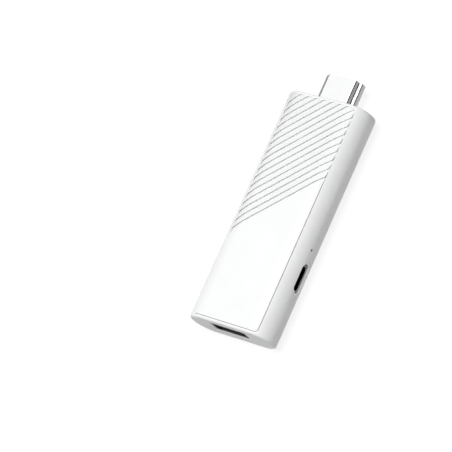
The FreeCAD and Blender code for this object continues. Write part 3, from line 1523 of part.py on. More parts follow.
def board_screw(name, x, y):
    """Pan-head screw through the board into a boss, with a cross recess."""
    body = new_body(name)
    head = new_sketch(body, "head", "XY", BOARD_TOP)
    circle(head, x, y, dim.screw_head_radius)
    head_solid = pad(body, head, dim.screw_head)
    crown = BOARD_TOP + dim.screw_head
    document.recompute()
    bevel = body.newObject("PartDesign::Chamfer", f"{name}_bevel")
    names = [
        f"Edge{number}"
        for number, edge in enumerate(head_solid.Shape.Edges, start=1)
        if lies_at(edge, "Z", crown)
    ]
    bevel.Base = (head_solid, names)
    bevel.setExpression("Size", dim.screw_bevel.text)
    body.Tip = bevel
    shank = new_sketch(body, "shank", "XY", BOARD_TOP - dim.screw_length)
    circle(shank, x, y, dim.screw_radius)
    pad(body, shank, dim.screw_length + SEAT)
    recess = new_sketch(body, "recess", "XY", crown - dim.screw_recess_depth)
    arm = dim.screw_recess_arm / 2
    reach = dim.screw_recess
    outline(recess, [
        (x - reach, y - arm),
        (x - arm, y - arm),
        (x - arm, y - reach),
        (x + arm, y - reach),
        (x + arm, y - arm),
        (x + reach, y - arm),
        (x + reach, y + arm),
        (x + arm, y + arm),
        (x + arm, y + reach),
        (x - arm, y + reach),
        (x - arm, y + arm),
        (x - reach, y + arm),
    ])
    pocket(body, recess, dim.screw_recess_depth + OVER)
    return body


def board_parts():
    """Everything that is soldered or stuck to the board, apart from its connectors."""
    top = BOARD_TOP
    die = dim.die_size
    soft = die - dim.thermal_margin * 2
    ram_side = (POWER_FEET - BOARD_HALF) / 2
    coil_pitch = dim.coil_size + dim.coil_gap
    row_width = dim.regulator_size + coil_pitch * dim.coil_count
    regulator_side = (dim.regulator_size - row_width) / 2
    coil_side = regulator_side + dim.regulator_size / 2 + dim.coil_gap + dim.coil_size / 2
    bypass_pitch = dim.bypass_width + dim.bypass_gap
    inlet_side = BOARD_HALF - dim.inlet_inset - dim.inlet_width / 2
    inlet_edge = dim.reset_place + dim.switch_width / 2 + dim.inlet_start
    crystal_side = -(die / 2 + dim.crystal_gap + dim.crystal_width / 2)
    aerial_side = -(BOARD_HALF - dim.aerial_inset - dim.aerial_width / 2)
    aerial_place = BOARD_HIGH - dim.aerial_inset - dim.aerial_length / 2
    return [
        chip("processor", as_size(0), DIE_PLACE, top, (die, die, dim.die_height)),
        box("thermal_pad", 0, DIE_PLACE, top + dim.die_height, (soft, soft, dim.thermal_plate)),
        heat_sink(),
        chip(
            "memory_chip_upper",
            ram_side,
            RAM_PLACE,
            top,
            (dim.ram_width, dim.ram_length, dim.ram_height),
        ),
        box(
            "memory_chip_under",
            ram_side,
            RAM_PLACE,
            BOARD_UNDER - dim.ram_height,
            (dim.ram_width, dim.ram_length, dim.ram_height),
        ),
        box(
            "storage_chip",
            0,
            DIE_PLACE,
            BOARD_UNDER - dim.flash_height,
            (dim.flash_width, dim.flash_length, dim.flash_height),
        ),
        chip(
            "power_chip",
            regulator_side,
            POWER_PLACE,
            top,
            (dim.regulator_size, dim.regulator_size, dim.regulator_height),
        ),
        row_of_boxes(
            "power_inductors",
            coil_side,
            POWER_PLACE,
            top,
            (dim.coil_size, dim.coil_size, dim.coil_height),
            "X",
            coil_pitch,
            dim.coil_count,
        ),
        row_of_boxes(
            "ceramic_capacitors",
            -bypass_pitch * (dim.bypass_count - 1) / 2,
            BYPASS_PLACE,
            top,
            (dim.bypass_width, dim.bypass_length, dim.bypass_height),
            "X",
            bypass_pitch,
            dim.bypass_count,
        ),
        row_of_boxes(
            "input_capacitors",
            inlet_side,
            inlet_edge + dim.inlet_length / 2,
            top,
            (dim.inlet_width, dim.inlet_length, dim.inlet_height),
            "Y",
            dim.inlet_length + dim.inlet_gap,
            dim.inlet_count,
        ),
        box(
            "clock_crystal",
            crystal_side,
            DIE_PLACE,
            top,
            (dim.crystal_width, dim.crystal_length, dim.crystal_height),
        ),
        box(
            "wireless_board",
            0,
            RADIO_PLACE,
            top,
            (dim.radio_width, dim.radio_length, dim.radio_plate),
        ),
        wireless_shield(),
        box(
            "chip_aerial",
            aerial_side,
            aerial_place,
            top,
            (dim.aerial_width, dim.aerial_length, dim.aerial_height),
        ),
    ]


def check(parts):
    """Stop if any feature failed, a cut took nothing away, or a piece isn't sound."""
    for item in document.Objects:
        if "Invalid" in item.State or "Error" in item.State:
            raise RuntimeError(f"{item.Name} failed: {item.State}")
        if item.TypeId == "PartDesign::Pocket":
            before = item.BaseFeature.Shape.Volume
            if before - item.Shape.Volume < 1e-4:
                raise RuntimeError(f"{item.Name} cuts nothing")
        if item.TypeId == "Sketcher::SketchObject" and item.solve() != 0:
            raise RuntimeError(f"{item.Name} can't be solved")
    for part in parts:
        if part.Shape.isNull() or not part.Shape.isValid() or not part.Shape.Solids:
            raise RuntimeError(f"{part.Label} isn't a sound solid")


def main():
    """Build every piece, check them all and write one file for each."""
    parts = [
        base_shell(),
        top_cover(),
        main_board(),
        hdmi_plug_shell(),
        hdmi_plug_insulator(),
        hdmi_contacts(),
        usb_a_shell(),
        usb_a_tongue(),
        usb_a_contacts(),
        usb_c_shell(),
        usb_c_tongue(),
        usb_c_contacts(),
        reset_switch_base(),
        reset_switch_frame(),
        reset_switch_plunger(),
        reset_switch_dome(),
        board_screw("board_screw_low", -BOSS_SIDE, BOSS_LOW),
        board_screw("board_screw_high", BOSS_SIDE, BOSS_HIGH),
    ]
    parts += board_parts()
    document.recompute()
    check(parts)
    os.makedirs("parts", exist_ok=True)
    for part in parts:
        part.Shape.exportStep(os.path.join("parts", f"{part.Label}.step"))
        print(part.Label, len(part.Shape.Solids), round(part.Shape.Volume, 3))


main()
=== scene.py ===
"""Looks of a white streaming stick, built around its packed construction.

The stick lies on its back.  X runs across it, towards the side with the power slot, Y runs along
it towards the plug, and Z rises from the back to the front face.  All lengths are in metres.
"""

import json
import math

import bmesh
import bpy
from bpy.props import FloatProperty, FloatVectorProperty, PointerProperty
from mathutils import Matrix, Vector


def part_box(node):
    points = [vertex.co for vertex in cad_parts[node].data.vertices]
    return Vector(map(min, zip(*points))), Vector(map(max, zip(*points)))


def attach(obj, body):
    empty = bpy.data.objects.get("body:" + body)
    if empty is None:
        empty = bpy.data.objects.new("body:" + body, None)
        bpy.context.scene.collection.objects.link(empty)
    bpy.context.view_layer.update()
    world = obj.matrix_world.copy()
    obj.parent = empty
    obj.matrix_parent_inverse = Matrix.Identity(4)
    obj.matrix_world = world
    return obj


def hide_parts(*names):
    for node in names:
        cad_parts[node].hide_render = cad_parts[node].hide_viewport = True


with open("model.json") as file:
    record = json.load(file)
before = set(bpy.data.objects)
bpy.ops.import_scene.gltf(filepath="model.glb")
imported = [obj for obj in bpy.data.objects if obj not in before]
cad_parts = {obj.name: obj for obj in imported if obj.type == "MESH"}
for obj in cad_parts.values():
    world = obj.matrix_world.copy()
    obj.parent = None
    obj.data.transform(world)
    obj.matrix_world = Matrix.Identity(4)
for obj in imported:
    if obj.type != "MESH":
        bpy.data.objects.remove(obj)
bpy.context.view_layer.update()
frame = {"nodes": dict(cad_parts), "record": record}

bl_info = {
    "name": "Streaming stick",
    "version": (1, 0, 0),
    "blender": (4, 5, 0),
    "location": "3D View > Sidebar > Stick",
    "description": "Finishes, small fittings and studio of a streaming stick",
    "category": "Mesh",
}

# The two bodies that pieces ride on
HOUSING = "housing"
BUTTON = "reset_button"
# Levels of the circuit board's two faces
BOARD_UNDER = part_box("main_board")[0].z
BOARD_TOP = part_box("main_board")[1].z

MM = 0.001
# Corners this close together are one
WELD = 0.001 * MM
# Corners this close to a side or a level lie on it
LEVEL = 0.01 * MM
# Faces that meet at less than this are one flat face
FLAT_ANGLE = math.radians(0.4)
# Edges over this angle are rounded
ROUNDED_ANGLE = math.radians(32)
# Edges over this angle are still shaded as edges afterwards
EDGE_ANGLE = math.radians(50)


def colour(name, description, default):
    """A colour that a user can change."""
    return FloatVectorProperty(
        name=name,
        description=description,
        subtype="COLOR",
        size=3,
        min=0.0,
        max=1.0,
        default=default,
    )


def length(name, description, default):
    """A length that a user can change."""
    return FloatProperty(name=name, description=description, unit="LENGTH", precision=5, default=default)


def amount(name, description, default, unit="NONE"):
    """A strength or another plain amount that a user can change."""
    return FloatProperty(name=name, description=description, unit=unit, default=default)


def angle(name, description, degrees):
    """An angle that a user can change."""
    return FloatProperty(name=name, description=description, subtype="ANGLE", default=math.radians(degrees))


def place(name, description, default):
    """A place that a user can change."""
    return FloatVectorProperty(
        name=name,
        description=description,
        subtype="TRANSLATION",
        unit="LENGTH",
        precision=5,
        default=default,
    )


class StickColours(bpy.types.PropertyGroup):
    """Colours of the stick's materials."""

    # The housing's white is a little lighter than the cover's, though both are the same plastic: painted
    # light that lifts the housing's sides, which the lamp overhead lights less.
    housing: colour("Housing", "Moulded rear housing", (0.925, 0.928, 0.935))
    cover: colour("Cover", "Moulded front cover", (0.9, 0.905, 0.91))
    plating: colour("Plating", "Nickel plating of the plug", (0.95, 0.953, 0.958))
    sockets: colour("Sockets", "Duller plating of the sockets", (0.5, 0.5, 0.508))
    gold: colour("Gold", "Plating of the contacts", (0.83, 0.58, 0.24))
    moulding: colour("Moulding", "Black mouldings inside the connectors", (0.012, 0.012, 0.013))
    board: colour("Board", "Solder mask of the circuit board", (0.012, 0.13, 0.055))
    module: colour("Module", "Solder mask of the wireless module", (0.01, 0.045, 0.12))
    dots: colour("Dots", "Bare gold dots on both boards", (0.55, 0.4, 0.16))
    package: colour("Package", "Moulded chip packages", (0.018, 0.018, 0.02))
    aluminium: colour("Aluminium", "Heat sink", (0.7, 0.705, 0.72))
    pad: colour("Pad", "Soft thermal pad", (0.36, 0.42, 0.52))
    ferrite: colour("Ferrite", "Pressed powder of the inductors", (0.045, 0.045, 0.048))
    ceramic: colour("Ceramic", "Fired body of the capacitors", (0.36, 0.22, 0.11))
    tin: colour("Tin", "Tinned cans, terminals and solder", (0.62, 0.62, 0.6))
    spring: colour("Spring", "Sprung sheet steel", (0.55, 0.55, 0.56))
    screw: colour("Screw", "Blackened screws", (0.09, 0.09, 0.1))
    button: colour("Button", "Moulded reset button", (0.62, 0.6, 0.54))
    aerial: colour("Aerial", "Fired ceramic of the aerial", (0.72, 0.74, 0.7))
    floor: colour("Floor", "Pale floor under the stick", (0.53, 0.53, 0.532))


class StickSizes(bpy.types.PropertyGroup):
    """Sizes of the roundings and small fittings that finish the stick."""

    seam_round: length("Seam rounding", "Rounding of the housing's and the cover's edges", 0.12 * MM)
    tight_round: length("Tight rounding", "Rounding of the edges beside the tight seam", 0.03 * MM)
    tight_seam: length("Tight seam", "Widest gap that counts as a tight seam", 0.06 * MM)
    foot_seam: length("Foot seam", "Reach of the seam at the socket end, on both its sides", 0.2 * MM)
    tip_corner: length("Tip corner", "Stretch beside the plug where the seam turns its corner", 1.4 * MM)
    # Reach of the painted shade in the corners of the white mouldings and the powdery parts
    painted_shade_reach: length("Crevice", "How far from a corner a moulding looks darker", 1.5 * MM)
    rib_end: length("Rib end", "How far a rib's high corner draws back from the seam", 0.18 * MM)
    rib_end_length: length("Rib end length", "Stretch of the seam along which it does so", 1.7 * MM)
    # Reach of the painted shade inside the plated sheets
    hollow: length("Hollow", "How far apart walls are when the space between them looks dark", 4 * MM)
    sheet_round: length("Sheet rounding", "Rounding of the connectors' sheet edges", 0.05 * MM)
    block_round: length("Block rounding", "Rounding of the contact blocks' edges", 0.08 * MM)
    button_round: length("Button rounding", "Rounding of the reset button's edges", 0.05 * MM)
    tin_plate: length("Tin", "Tinned ends, feet and pins outside the body that they are on", 0.03 * MM)
    cap_length: length("End cap", "Tinned end of a chip capacitor", 0.3 * MM)
    foot_inset: length("Inductor foot", "Foot of an inductor, from its corners", 0.6 * MM)
    foot_height: length("Inductor foot height", "Foot of an inductor, up its side", 0.45 * MM)
    pin_pitch: length("Pin pitch", "Pins of the power chip, centre to centre", 0.5 * MM)
    pin_width: length("Pin width", "Pin of the power chip", 0.25 * MM)
    pin_height: length("Pin height", "Pin of the power chip, up its side", 0.2 * MM)
    pad_pitch: length("Pad pitch", "Pads of the wireless module, centre to centre", 0.9 * MM)
    pad_width: length("Pad width", "Pad of the wireless module", 0.5 * MM)
    lid_inset: length("Lid inset", "Metal lid inside the crystal's rim", 0.15 * MM)
    lid_plate: length("Lid", "Thickness of the crystal's metal lid", 0.08 * MM)
    solder_reach: length("Solder reach", "Solder around a leg that goes through the board", 0.25 * MM)
    solder_height: length("Solder height", "Solder above the board, around a leg", 0.28 * MM)
    fillet_reach: length("Fillet reach", "Solder around a contact's foot", 0.06 * MM)
    fillet_height: length("Fillet height", "Solder above the board, around a contact's foot", 0.08 * MM)


class StickStage(bpy.types.PropertyGroup):
    """Camera, lamps, cards and floor."""

    eye: place("Eye", "Place of the camera", (0.45684, -0.19892, 0.7199))
    aim: place("Aim", "Point in the middle of the picture", (-0.018545, -0.012471, 0.0068))
    roll: angle("Roll", "Turn of the camera about its line of sight", 48.1076)
    lens: amount("Lens", "Focal length of the camera", 218.46, "CAMERA")
    softbox_size: length("Softbox", "Side of the square lamp overhead", 0.9)
    softbox_place: place("Softbox place", "Middle of the lamp overhead", (0.0, -0.02, 1.6))
    softbox_power: amount("Softbox power", "Lamp overhead", 24.5, "POWER")
    sky: amount("Sky", "Strength of the light from all around", 0.17)
    flag_size: length("Flag", "Side of the black card high beside the plug", 0.48)
    flag_distance: length("Flag distance", "From the plug to that card", 0.5)
    flag_height: angle("Flag height", "How far that card stands above the plug, as an angle", 32)
    flag_turn: angle("Flag turn", "Way from the plug to that card, from the X axis", 14)
    flag_shade: amount("Flag shade", "Brightness of that card", 0.08)
    card_reach: length("Card reach", "How far the cards on the floor reach out beside the plug", 0.026)
    card_foot: length("Card foot", "From the plug's side to the cards on the floor", 0.5 * MM)
    card_gap: length("Card gap", "From the housing's end to the cards on the floor", 0.8 * MM)
    card_lift: length("Card lift", "Lying cards above the floor", 0.3 * MM)
    card_shade: amount("Card shade", "Brightness of the black cards on the floor", 0.01)
    grey_near: amount("Grey near", "Brightness of the grey lying card beside the plug", 0.45)
    grey_far: amount("Grey far", "Brightness of the grey lying card further out", 0.34)
    grey_start: length("Grey start", "From the plug's side to where that card's grey changes", 3.5 * MM)
    grey_fade: length("Grey fade", "Stretch over which that card's grey changes", 7 * MM)
    right_card_height: length("Right card", "Card that stands on the floor, on the right", 0.022)
    left_card_height: length("Left card", "Card that stands on the floor, on the left", 0.042)
    floor_size: length("Floor size", "Side of the square floor", 8.0)
    floor_inset: length("Floor inset", "Floor that reaches in under the stick's flat back", 0.2 * MM)
    floor_share: amount("Floor share", "How much of its own light the floor shows to the camera", 0.3)
    floor_lift: amount("Floor lift", "What the camera sees of the floor beside its own light", 0.86)


def shade(base, factor):
    """A colour made lighter or darker."""
    return tuple(min(part * factor, 1.0) for part in base)


def seen(nodes, links):
    """An output that is 1 for what the camera sees, straight or in a mirror or through glass."""
    rays = nodes.new("ShaderNodeLightPath")
    result = rays.outputs["Is Camera Ray"]
    for other in ("Is Glossy Ray", "Is Transmission Ray"):
        either = nodes.new("ShaderNodeMath")
        either.operation = "MAXIMUM"
        links.new(result, either.inputs[0])
        links.new(rays.outputs[other], either.inputs[1])
        result = either.outputs[0]
    return result


class Finish:
    """A material under construction."""

    def __init__(self, name):
        self.material = bpy.data.materials.new(name)
        self.material.use_nodes = True
        tree = self.material.node_tree
        self.nodes = tree.nodes
        self.links = tree.links
        self.shader = tree.nodes["Principled BSDF"]
        self.coordinates = None

    def add(self, kind, **settings):
        """A node with its settings."""
        node = self.nodes.new(kind)
        for name, value in settings.items():
            setattr(node, name, value)
        return node

    def join(self, source, target):
        """A link from an output to an input."""
        self.links.new(source, target)

    def feed(self, socket, source):
        """A link from an output to one of the shader's own sockets."""
        self.links.new(source, self.shader.inputs[socket])

    def set(self, socket, value):
        """A plain value on one of the shader's own sockets."""
        self.shader.inputs[socket].default_value = value

    def where(self, stretch=(1, 1, 1)):
        """Object coordinates, stretched along the three axes."""
        if self.coordinates is None:
            self.coordinates = self.add("ShaderNodeTexCoord").outputs["Object"]
        mapping = self.add("ShaderNodeMapping")
        mapping.inputs["Scale"].default_value = stretch
        self.join(self.coordinates, mapping.inputs["Vector"])
        return mapping.outputs["Vector"]

    def noise(self, grain, stretch=(1, 1, 1), detail=3.0, roughness=0.5):
        """Noise whose grains have about the given size in metres."""
        node = self.add("ShaderNodeTexNoise")
        node.inputs["Scale"].default_value = 1.0 / grain
        node.inputs["Detail"].default_value = detail
        node.inputs["Roughness"].default_value = roughness
        self.join(self.where(stretch), node.inputs["Vector"])
        return node.outputs["Fac"]

    def spread(self, source, low, high, start=0.3, stop=0.7):
        """A value brought from one range into another."""
        node = self.add("ShaderNodeMapRange")
        node.inputs["From Min"].default_value = start
        node.inputs["From Max"].default_value = stop
        node.inputs["To Min"].default_value = low
        node.inputs["To Max"].default_value = high
        self.join(source, node.inputs["Value"])
        return node.outputs["Result"]

    def depth(self, reach, deepest, open_air, power=1.0, only_local=False):
        """1 where surfaces within reach close a place in, 0 where it is open: the mask for painted shade.
        """
        node = self.add("ShaderNodeAmbientOcclusion", samples=12, only_local=only_local)
        node.inputs["Distance"].default_value = reach
        closed = self.spread(node.outputs["AO"], 1.0, 0.0, deepest, open_air)
        curve = self.add("ShaderNodeMath", operation="POWER")
        curve.inputs[1].default_value = power
        self.join(closed, curve.inputs[0])
        return curve.outputs[0]

    def tint(self, factor, one, other):
        """A colour between two others, each a plain colour or an output."""
        node = self.add("ShaderNodeMix", data_type="RGBA")
        self.join(factor, node.inputs["Factor"])
        for socket, value in ((node.inputs["A"], one), (node.inputs["B"], other)):
            if hasattr(value, "is_linked"):
                self.join(value, socket)
            else:
                socket.default_value = (*value, 1.0)
        return node.outputs["Result"]

    def mottled(self, source, base, darker, lighter):
        """A colour that goes with a value from a darker shade of itself to a lighter one."""
        return self.tint(self.spread(source, 0.0, 1.0), shade(base, darker), shade(base, lighter))

    def relief(self, *layers):
        """Bumps one over the other, each an output with its height in metres."""
        normal = None
        for source, height in layers:
            bump = self.add("ShaderNodeBump")
            bump.inputs["Strength"].default_value = 1.0
            bump.inputs["Distance"].default_value = height
            self.join(source, bump.inputs["Height"])
            if normal is not None:
                self.join(normal, bump.inputs["Normal"])
            normal = bump.outputs["Normal"]
        self.feed("Normal", normal)


def moulded_white(name, base, painted_shade_reach):
    """Satin white moulding: fine eroded grain, slight cloudiness, and painted shade in its corners."""
    finish = Finish(name)
    cloud = finish.noise(9 * MM, detail=4.0)
    grain = finish.noise(0.16 * MM, detail=2.0, roughness=0.6)
    clean = finish.mottled(cloud, base, 0.985, 1.01)
    # Painted shade: the white is darkened where nearby surfaces close it in, in seams, holes and at the
    # feet of the ribs.
    corners = finish.depth(painted_shade_reach, deepest=0.1, open_air=0.9, power=1.7)
    finish.feed("Base Color", finish.tint(corners, clean, shade(base, 0.34)))
    finish.feed("Roughness", finish.spread(grain, 0.36, 0.5))
    finish.set("IOR", 1.5)
    finish.relief((grain, 0.0035 * MM), (cloud, 0.02 * MM))
    return finish.material


def plated_sheet(name, base, hollow):
    """Nickel plated sheet: drawn streaks along the stick, soft stains, and painted shade where it is
    hollow.
    """
    finish = Finish(name)
    streak = finish.noise(0.12 * MM, stretch=(1, 0.03, 1), detail=4.0)
    stain = finish.noise(3 * MM, detail=3.0)
    clean = finish.mottled(stain, base, 0.99, 1.02)
    # Painted shade: the sheet is darkened nearly to black where its own walls close it in, as inside the
    # sockets.
    inside = finish.depth(hollow, deepest=0.25, open_air=0.85, only_local=True)
    finish.feed("Base Color", finish.tint(inside, clean, shade(base, 0.04)))
    finish.feed("Roughness", finish.spread(streak, 0.09, 0.17))
    finish.set("Metallic", 1.0)
    finish.relief((streak, 0.0006 * MM), (stain, 0.001 * MM))
    return finish.material


def gold_plating(name, base):
    """Gold plated spring contacts with faint wiping marks."""
    finish = Finish(name)
    wipe = finish.noise(0.08 * MM, stretch=(1, 0.05, 1), detail=3.0)
    finish.feed("Base Color", finish.mottled(wipe, base, 0.88, 1.06))
    finish.feed("Roughness", finish.spread(wipe, 0.16, 0.32))
    finish.set("Metallic", 1.0)
    finish.relief((wipe, 0.001 * MM))
    return finish.material


def dark_moulding(name, base, grain=0.12 * MM):
    """Glass filled black moulding: matt, with pale specks of fibre."""
    finish = Finish(name)
    fibre = finish.noise(grain, detail=3.0, roughness=0.65)
    flow = finish.noise(2.5 * MM, stretch=(1, 0.3, 1), detail=2.0)
    specks = finish.spread(fibre, 0.0, 1.0, 0.55, 0.75)
    finish.feed("Base Color", finish.tint(specks, base, shade(base, 2.6)))
    finish.feed("Roughness", finish.spread(flow, 0.6, 0.75))
    finish.set("Specular IOR Level", 0.25)
    finish.relief((fibre, 0.004 * MM))
    return finish.material


def solder_mask(name, base, bare, pitch):
    """Glossy solder mask over copper: raised tracks, a cloudy weave and bare gold dots."""
    finish = Finish(name)
    tracks = finish.add("ShaderNodeTexBrick", offset=0.37, squash=1.0)
    tracks.inputs["Scale"].default_value = 1.0
    tracks.inputs["Mortar Size"].default_value = pitch * 0.16
    tracks.inputs["Mortar Smooth"].default_value = 0.2
    tracks.inputs["Brick Width"].default_value = pitch * 7
    tracks.inputs["Row Height"].default_value = pitch
    tracks.inputs["Color1"].default_value = (0, 0, 0, 1)
    tracks.inputs["Color2"].default_value = (0, 0, 0, 1)
    tracks.inputs["Mortar"].default_value = (1, 1, 1, 1)
    finish.join(finish.where(), tracks.inputs["Vector"])
    copper = tracks.outputs["Fac"]
    cells = finish.add("ShaderNodeTexVoronoi", feature="F1")
    cells.inputs["Scale"].default_value = 1.0 / (pitch * 4)
    cells.inputs["Randomness"].default_value = 0.8
    finish.join(finish.where((1, 1, 0)), cells.inputs["Vector"])
    dots = finish.spread(cells.outputs["Distance"], 1.0, 0.0, 0.07, 0.09)
    weave = finish.noise(0.3 * MM, detail=2.0)
    masked = finish.tint(copper, base, shade(base, 2.1))
    cloudy = finish.tint(finish.spread(weave, 0.0, 0.35), masked, shade(base, 0.7))
    finish.feed("Base Color", finish.tint(dots, cloudy, bare))
    finish.feed("Roughness", finish.spread(weave, 0.22, 0.36))
    finish.relief((copper, 0.035 * MM), (dots, 0.02 * MM), (weave, 0.004 * MM))
    return finish.material


def extruded_aluminium(name, base):
    """Extruded aluminium: die lines along the stick."""
    finish = Finish(name)
    lines = finish.noise(0.15 * MM, stretch=(1, 0.02, 1), detail=5.0)
    finish.feed("Base Color", finish.mottled(lines, base, 0.85, 1.08))
    finish.feed("Roughness", finish.spread(lines, 0.3, 0.48))
    finish.set("Metallic", 1.0)
    finish.relief((lines, 0.006 * MM))
    return finish.material


def plain_metal(name, base, rough, grain=0.2 * MM):
    """Rolled or plated metal with a faint orange peel."""
    finish = Finish(name)
    peel = finish.noise(grain, detail=3.0)
    cloud = finish.noise(grain * 12, detail=2.0)
    finish.feed("Base Color", finish.mottled(cloud, base, 0.88, 1.08))
    finish.feed("Roughness", finish.spread(peel, rough - 0.08, rough + 0.1))
    finish.set("Metallic", 1.0)
    finish.relief((peel, 0.003 * MM))
    return finish.material


def powdery(name, base, painted_shade_reach, rough, grain):
    """Pressed, fired or filled material: speckled and matt, with painted shade where it is closed in."""
    finish = Finish(name)
    powder = finish.noise(grain, detail=5.0, roughness=0.7)
    clean = finish.mottled(powder, base, 0.72, 1.25)
    # Painted shade: the colour is darkened where surfaces close it in.
    closed = finish.depth(painted_shade_reach, deepest=0.05, open_air=0.6)
    finish.feed("Base Color", finish.tint(closed, clean, shade(base, 0.05)))
    finish.feed("Roughness", finish.spread(powder, rough - 0.08, rough + 0.08))
    finish.relief((powder, 0.008 * MM))
    return finish.material


def pale_floor(name, base, share, lift):
    """Matt floor, which the camera and mirrors see nearly white, and which is clear from below."""
    finish = Finish(name)
    grain = finish.noise(0.8 * MM, detail=4.0)
    visible = seen(finish.nodes, finish.links)
    lit = finish.mottled(grain, base, 0.995, 1.005)
    finish.feed("Base Color", finish.tint(visible, lit, shade(base, share)))
    finish.feed("Roughness", finish.spread(grain, 0.85, 0.95))
    finish.set("Specular IOR Level", 0.1)
    finish.set("Emission Color", (1, 1, 1, 1))
    finish.feed("Emission Strength", finish.spread(visible, 0.0, lift, 0.0, 1.0))
    underside = finish.add("ShaderNodeNewGeometry").outputs["Backfacing"]
    finish.feed("Alpha", finish.spread(underside, 1.0, 0.0, 0.0, 1.0))
    return finish.material


def grey_card(name, near, far, start, stop):
    """Card that needs no light, from one brightness to another along X."""
    finish = Finish(name)
    axes = finish.add("ShaderNodeSeparateXYZ")
    finish.join(finish.where(), axes.inputs["Vector"])
    across = finish.spread(axes.outputs["X"], 0.0, 1.0, start, stop)
    fibre = finish.noise(1.5 * MM, detail=3.0)
    tone = finish.tint(across, (near, near, near), (far, far, far))
    finish.set("Base Color", (0, 0, 0, 1))
    finish.set("Specular IOR Level", 0.0)
    finish.feed("Emission Color", tone)
    finish.feed("Emission Strength", finish.spread(fibre, 0.98, 1.02))
    return finish.material


def finish_of(slot):
    """The material for a slot of the record, or for the sockets' duller sheet, made once."""
    made = bpy.data.materials.get(f"look_{slot}")
    if made:
        return made
    colours = bpy.context.scene.stick_colours
    painted_shade_reach = bpy.context.scene.stick_sizes.painted_shade_reach
    hollow = bpy.context.scene.stick_sizes.hollow
    makers = {
        "white_housing": lambda name: moulded_white(name, colours.housing, painted_shade_reach),
        "white_cover": lambda name: moulded_white(name, colours.cover, painted_shade_reach),
        "circuit_board": lambda name: solder_mask(name, colours.board, colours.dots, pitch=0.55 * MM),
        "connector_steel": lambda name: plated_sheet(name, colours.plating, hollow),
        "socket_steel": lambda name: plated_sheet(name, colours.sockets, hollow),
        "black_plastic": lambda name: dark_moulding(name, colours.moulding),
        "contact_gold": lambda name: gold_plating(name, colours.gold),
        "spring_steel": lambda name: plain_metal(name, colours.spring, rough=0.28),
        "button_plastic": lambda name: powdery(name, colours.button, painted_shade_reach, rough=0.5, grain=0.3 * MM),
        "screw_steel": lambda name: plain_metal(name, colours.screw, rough=0.4, grain=0.15 * MM),
        "chip_package": lambda name: dark_moulding(name, colours.package, grain=0.09 * MM),
        "sink_aluminium": lambda name: extruded_aluminium(name, colours.aluminium),
        "soft_pad": lambda name: powdery(name, colours.pad, painted_shade_reach, rough=0.8, grain=0.4 * MM),
        "ferrite": lambda name: powdery(name, colours.ferrite, painted_shade_reach, rough=0.7, grain=0.15 * MM),
        "ceramic": lambda name: powdery(name, colours.ceramic, painted_shade_reach, rough=0.45, grain=0.1 * MM),
        "can_metal": lambda name: plain_metal(name, colours.tin, rough=0.32),
        "module_board": lambda name: solder_mask(name, colours.module, colours.dots, pitch=0.35 * MM),
        "aerial_ceramic": lambda name: powdery(name, colours.aerial, painted_shade_reach, rough=0.4, grain=0.12 * MM),
    }
    return makers[slot](f"look_{slot}")


def slot_of(node):
    """The record's slot of a construction piece."""
    for part in frame["record"]["subparts"]:
        if part["node"] == node:
            return part["material_slot"]
    raise KeyError(node)


def paint(*nodes):
    """Give construction pieces the finish of their slots."""
    for node in nodes:
        frame["nodes"][node].material_slots[0].material = finish_of(slot_of(node))


def new_piece(name, mesh, slot, body=HOUSING):
    """An object from a finished bmesh, riding on a body."""
    data = bpy.data.meshes.new(name)
    mesh.to_mesh(data)
    mesh.free()
    data.materials.append(finish_of(slot))
    piece = bpy.data.objects.new(name, data)
    bpy.context.scene.collection.objects.link(piece)
    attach(piece, body)
    return piece


def merged(node):
    """A copy of a construction piece's mesh, with its triangles joined."""
    mesh = bmesh.new()
    mesh.from_mesh(frame["nodes"][node].data)
    bmesh.ops.remove_doubles(mesh, verts=mesh.verts, dist=WELD)
    return mesh


def bevel(mesh, edges, rounding):
    """Round edges."""
    bmesh.ops.bevel(
        mesh,
        geom=edges,
        offset=rounding,
        offset_type="OFFSET",
        affect="EDGES",
        segments=2,
        profile=0.5,
        clamp_overlap=True,
        material=-1,
    )


def sharp_edges(mesh, least):
    """Edges where two faces meet at more than an angle."""
    return [edge for edge in mesh.edges if edge.is_manifold and edge.calc_face_angle(0.0) > least]


def cut_across(mesh, place, axis, clear=False):
    """New edges where a mesh crosses a plane, with what lies beyond it taken away if asked."""
    bmesh.ops.bisect_plane(
        mesh,
        geom=[*mesh.verts, *mesh.edges, *mesh.faces],
        dist=WELD,
        plane_co=place,
        plane_no=axis,
        clear_outer=clear,
    )


def dressed(node, rounding, body=HOUSING, shape=None, fine=None, fine_rounding=0.0):
    """A merged copy of a construction piece, with its sharp edges rounded, that stands for it.

    The function shape works on the copy first.  Edges for which fine is true get the fine rounding.
    """
    mesh = merged(node)
    bmesh.ops.dissolve_limit(mesh, angle_limit=FLAT_ANGLE, verts=mesh.verts, edges=mesh.edges)
    if shape:
        shape(mesh)
    waiting = mesh.edges.layers.int.new("waiting")
    for edge in sharp_edges(mesh, ROUNDED_ANGLE):
        edge[waiting] = 1
    if fine:
        delicate = [edge for edge in mesh.edges if edge[waiting] and fine(edge)]
        for edge in delicate:
            edge[waiting] = 0
        bevel(mesh, delicate, fine_rounding)
    bevel(mesh, [edge for edge in mesh.edges if edge[waiting]], rounding)
    for face in mesh.faces:
        face.smooth = True
    for edge in sharp_edges(mesh, EDGE_ANGLE):
        edge.smooth = False
    piece = new_piece(f"{node}_finished", mesh, slot_of(node), body)
    weighted = piece.modifiers.new("even_normals", "WEIGHTED_NORMAL")
    weighted.keep_sharp = True
    weighted.weight = 100
    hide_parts(node)
    return piece


